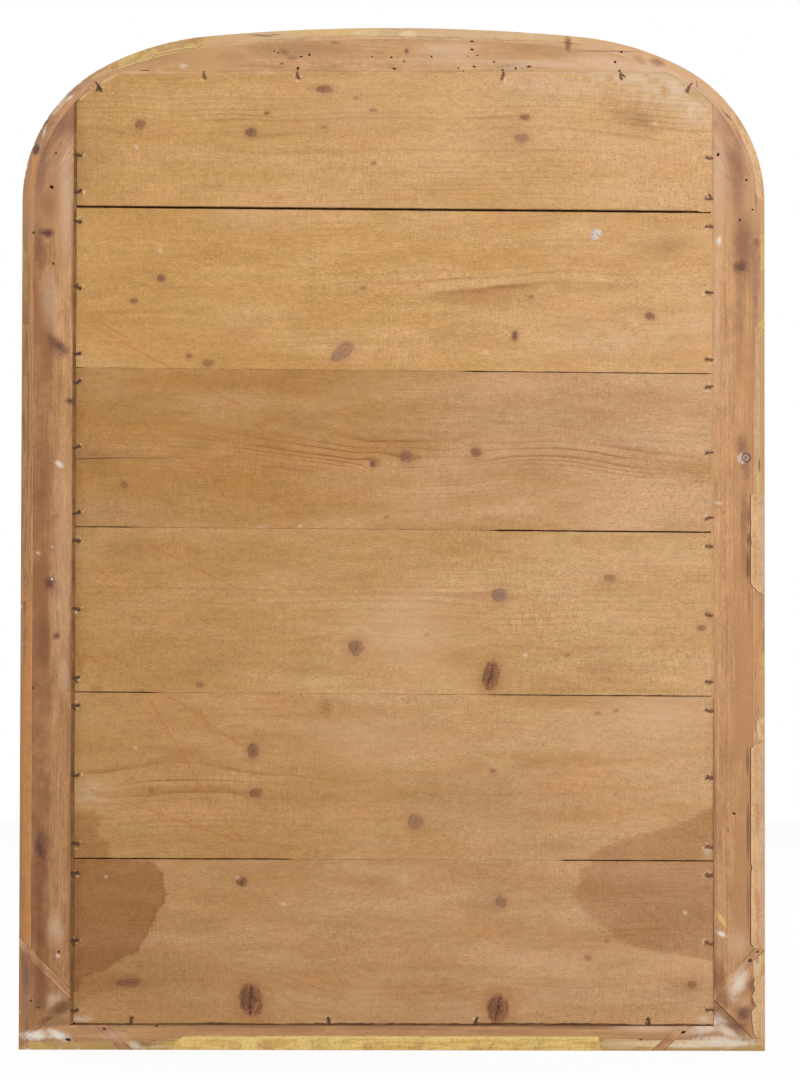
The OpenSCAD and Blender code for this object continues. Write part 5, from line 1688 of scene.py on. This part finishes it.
def bentNail(root, way, length, rng, size):
    stout = {key: nailForm[key] * size for key in ("neck", "headWide", "headLong", "spurWidth")}
    form = {**nailForm, **stout}
    aside = np.array([-way[1], way[0]])
    bow = rng.uniform(-form["bow"], form["bow"]) * mm
    hook = rng.uniform(-form["hook"], form["hook"]) * mm
    top = backY - form["neck"] * 0.75
    path, halves = [], []
    for depth in (form["leg"], form["leg"] * 0.5, form["bendRound"]):
        path.append((root[0], top - depth, root[1]))
        halves.append(form["tip"] if depth == form["leg"] else form["neck"])
    for i in range(form["rows"]):
        share = i / (form["rows"] - 1)
        along = form["bendRound"] * 0.3 + share * (length - form["bendRound"] * 0.3)
        sway = bow * math.sin(math.pi * share) + hook * share ** 3
        spot = root + way * along + aside * sway
        lift = form["lift"] * (math.sin(math.pi * share) * 0.5 + share ** 4 * rng.uniform(0.2, 0.9))
        bend = form["bendRound"] * 0.35 * (1 - smooth(share * 5))
        path.append((spot[0], top - bend + lift, spot[1]))
        halves.append(form["neck"] * (1 + 0.12 * math.sin(7 * share + bow * 900)))
    points, faces = tubeAlong(path, halves, 0.75)
    turn = rng.uniform(-form["headTurn"], form["headTurn"])
    headWay = way * math.cos(turn) + aside * math.sin(turn)
    headSide = np.array([-headWay[1], headWay[0]])
    last = np.array([path[-1][0], path[-1][2]])
    start = len(points)
    thick = form["headThick"]
    for dy, grow in ((-thick * 0.8, 0.8), (thick * 0.6, 1.0), (thick, 0.7)):
        for corner in range(8):
            angle = 2 * math.pi * (corner + 0.5) / 8
            u = math.copysign(abs(math.cos(angle)) ** 0.6, math.cos(angle)) * form["headLong"] * 0.62 * grow
            v = math.copysign(abs(math.sin(angle)) ** 0.6, math.sin(angle)) * form["headWide"] * grow
            spot = last + headWay * u + headSide * (v * rng.uniform(0.85, 1.1))
            points.append((spot[0], path[-1][1] + dy, spot[1]))
    faces += bands(start, 2, 8)
    faces += [tuple(range(start, start + 8))[::-1], tuple(range(start + 16, start + 24))]
    if rng.random() < form["spurShare"]:
        turn = math.copysign(rng.uniform(*form["spurTurn"]), rng.uniform(-1, 1))
        spurWay = way * math.cos(turn) + aside * math.sin(turn)
        base = root + way * rng.uniform(*form["spurStart"]) * mm
        reach = rng.uniform(*form["spurLength"])
        spur = [(base[0] + spurWay[0] * reach * t, top + 0.3 * mm * t, base[1] + spurWay[1] * reach * t)
                for t in (0, 0.35, 0.7, 1)]
        morePoints, moreFaces = tubeAlong(spur, [form["spurWidth"] * w for w in (1, 1.1, 0.9, 0.5)], 0.8)
        faces += [tuple(i + len(points) for i in face) for face in moreFaces]
        points += morePoints
    return points, faces


def ironFinish(name, dark, light):
    tree = Tree(name)
    rust = tree.patchy(0.42, 0.62, 420, 3, roughness=0.65)
    bright = tree.patchy(0.62, 0.7, 260, 2)
    colour = tree.coat(tint(*dark), light, rust)
    colour = tree.coat(colour, nailForm["bright"], bright * 0.5)
    pits = tree.noise(900, 2)
    return tree.finish({"Base Color": colour, "Metallic": bright * 0.3, "Roughness": 0.55 + rust * 0.3,
                        "Specular IOR Level": 0.4, "Normal": tree.bump(pits, 0.6, 0.3 * mm)})


def addNails(group, seed, size, material):
    rng = np.random.default_rng(seed)
    points, faces = [], []
    for root, way, length in nailPlaces(group):
        newPoints, newFaces = bentNail(root, way, length, rng, size)
        faces += [tuple(i + len(points) for i in face) for face in newFaces]
        points += newPoints
    mesh = newMesh("bent_" + group, points, faces, 35)
    return addPiece("bent_" + group, mesh, material, [group])


irons = {name: ironFinish(name, *tones) for name, tones in ironTones.items()}
for count, (group, (size, name)) in enumerate(nailGroups.items()):
    addNails(group, 40 + count, size, irons[name])
print("nails bent")


# Room: a pale floor, a white surround for the camera, and plain soft lamps
room = {
    "skyStrength": 0.56, "floorTone": (236, 236, 234), "floorSize": 12, "floorWhite": 0.95,
    "lamps": {  # place, size, power
        "backRight": ((-1.9, 3.1, 2.6), 1.8, 56),
        "backLeft": ((2.2, 3.2, 1.4), 1.8, 18),
        "frontRight": ((-1.6, -2.8, 2.6), 1.8, 50),
        "frontLeft": ((2.2, -2.6, 1.6), 1.8, 23),
    },
}


def cameraRays(tree):  # 1 where the camera sees a surface straight, in gloss or through glass
    rays = tree.add("LightPath")
    outputs = rays.socket.node.outputs
    seen = Wire(tree, outputs["Is Camera Ray"]).most(Wire(tree, outputs["Is Glossy Ray"]))
    return seen.most(Wire(tree, outputs["Is Transmission Ray"]))


def addRoom(values):
    world = bpy.data.worlds.new("surround")
    bpy.context.scene.world = world
    world.use_nodes = True
    tree = Tree.__new__(Tree)
    tree.nodes, tree.links = world.node_tree.nodes, world.node_tree.links
    sky = tree.nodes["Background"]
    seen = cameraRays(tree)
    tree.feed(sky.inputs["Color"], (1, 1, 1, 1))
    tree.feed(sky.inputs["Strength"], seen * (1 - values["skyStrength"]) + values["skyStrength"])
    size = values["floorSize"] / 2
    mesh = bpy.data.meshes.new("floor")
    corners = [(-size, -size, 0), (size, -size, 0), (size, size, 0), (-size, size, 0)]
    mesh.from_pydata(corners, [], [(0, 1, 2, 3)])
    floor = bpy.data.objects.new("floor", mesh)
    bpy.context.scene.collection.objects.link(floor)
    floor.location.z = cadBox[0].z - 0.2 * mm
    paint = Tree("pale_floor")
    paint.finish({"Base Color": tint(*values["floorTone"]), "Roughness": 0.9})
    glow = paint.add("Emission", None, {"Color": (1, 1, 1, 1), "Strength": 1.0})
    shine = cameraRays(paint) * values["floorWhite"]
    blend = paint.add("MixShader", None, {0: shine, 1: Wire(paint, paint.shader.outputs[0]), 2: glow})
    paint.links.new(blend.socket, paint.output.inputs["Surface"])
    mesh.materials.append(paint.material)
    aim = (cadBox[0] + cadBox[1]) / 2
    for name, (place, width, power) in values["lamps"].items():
        data = bpy.data.lights.new(name, "AREA")
        data.size, data.energy = width, power
        lamp = bpy.data.objects.new(name, data)
        lamp.location = place
        lamp.rotation_euler = (aim - Vector(place)).to_track_quat("-Z", "Y").to_euler()
        bpy.context.scene.collection.objects.link(lamp)


addRoom(room)
bpy.context.scene.view_settings.view_transform = "Standard"
print("room lit")
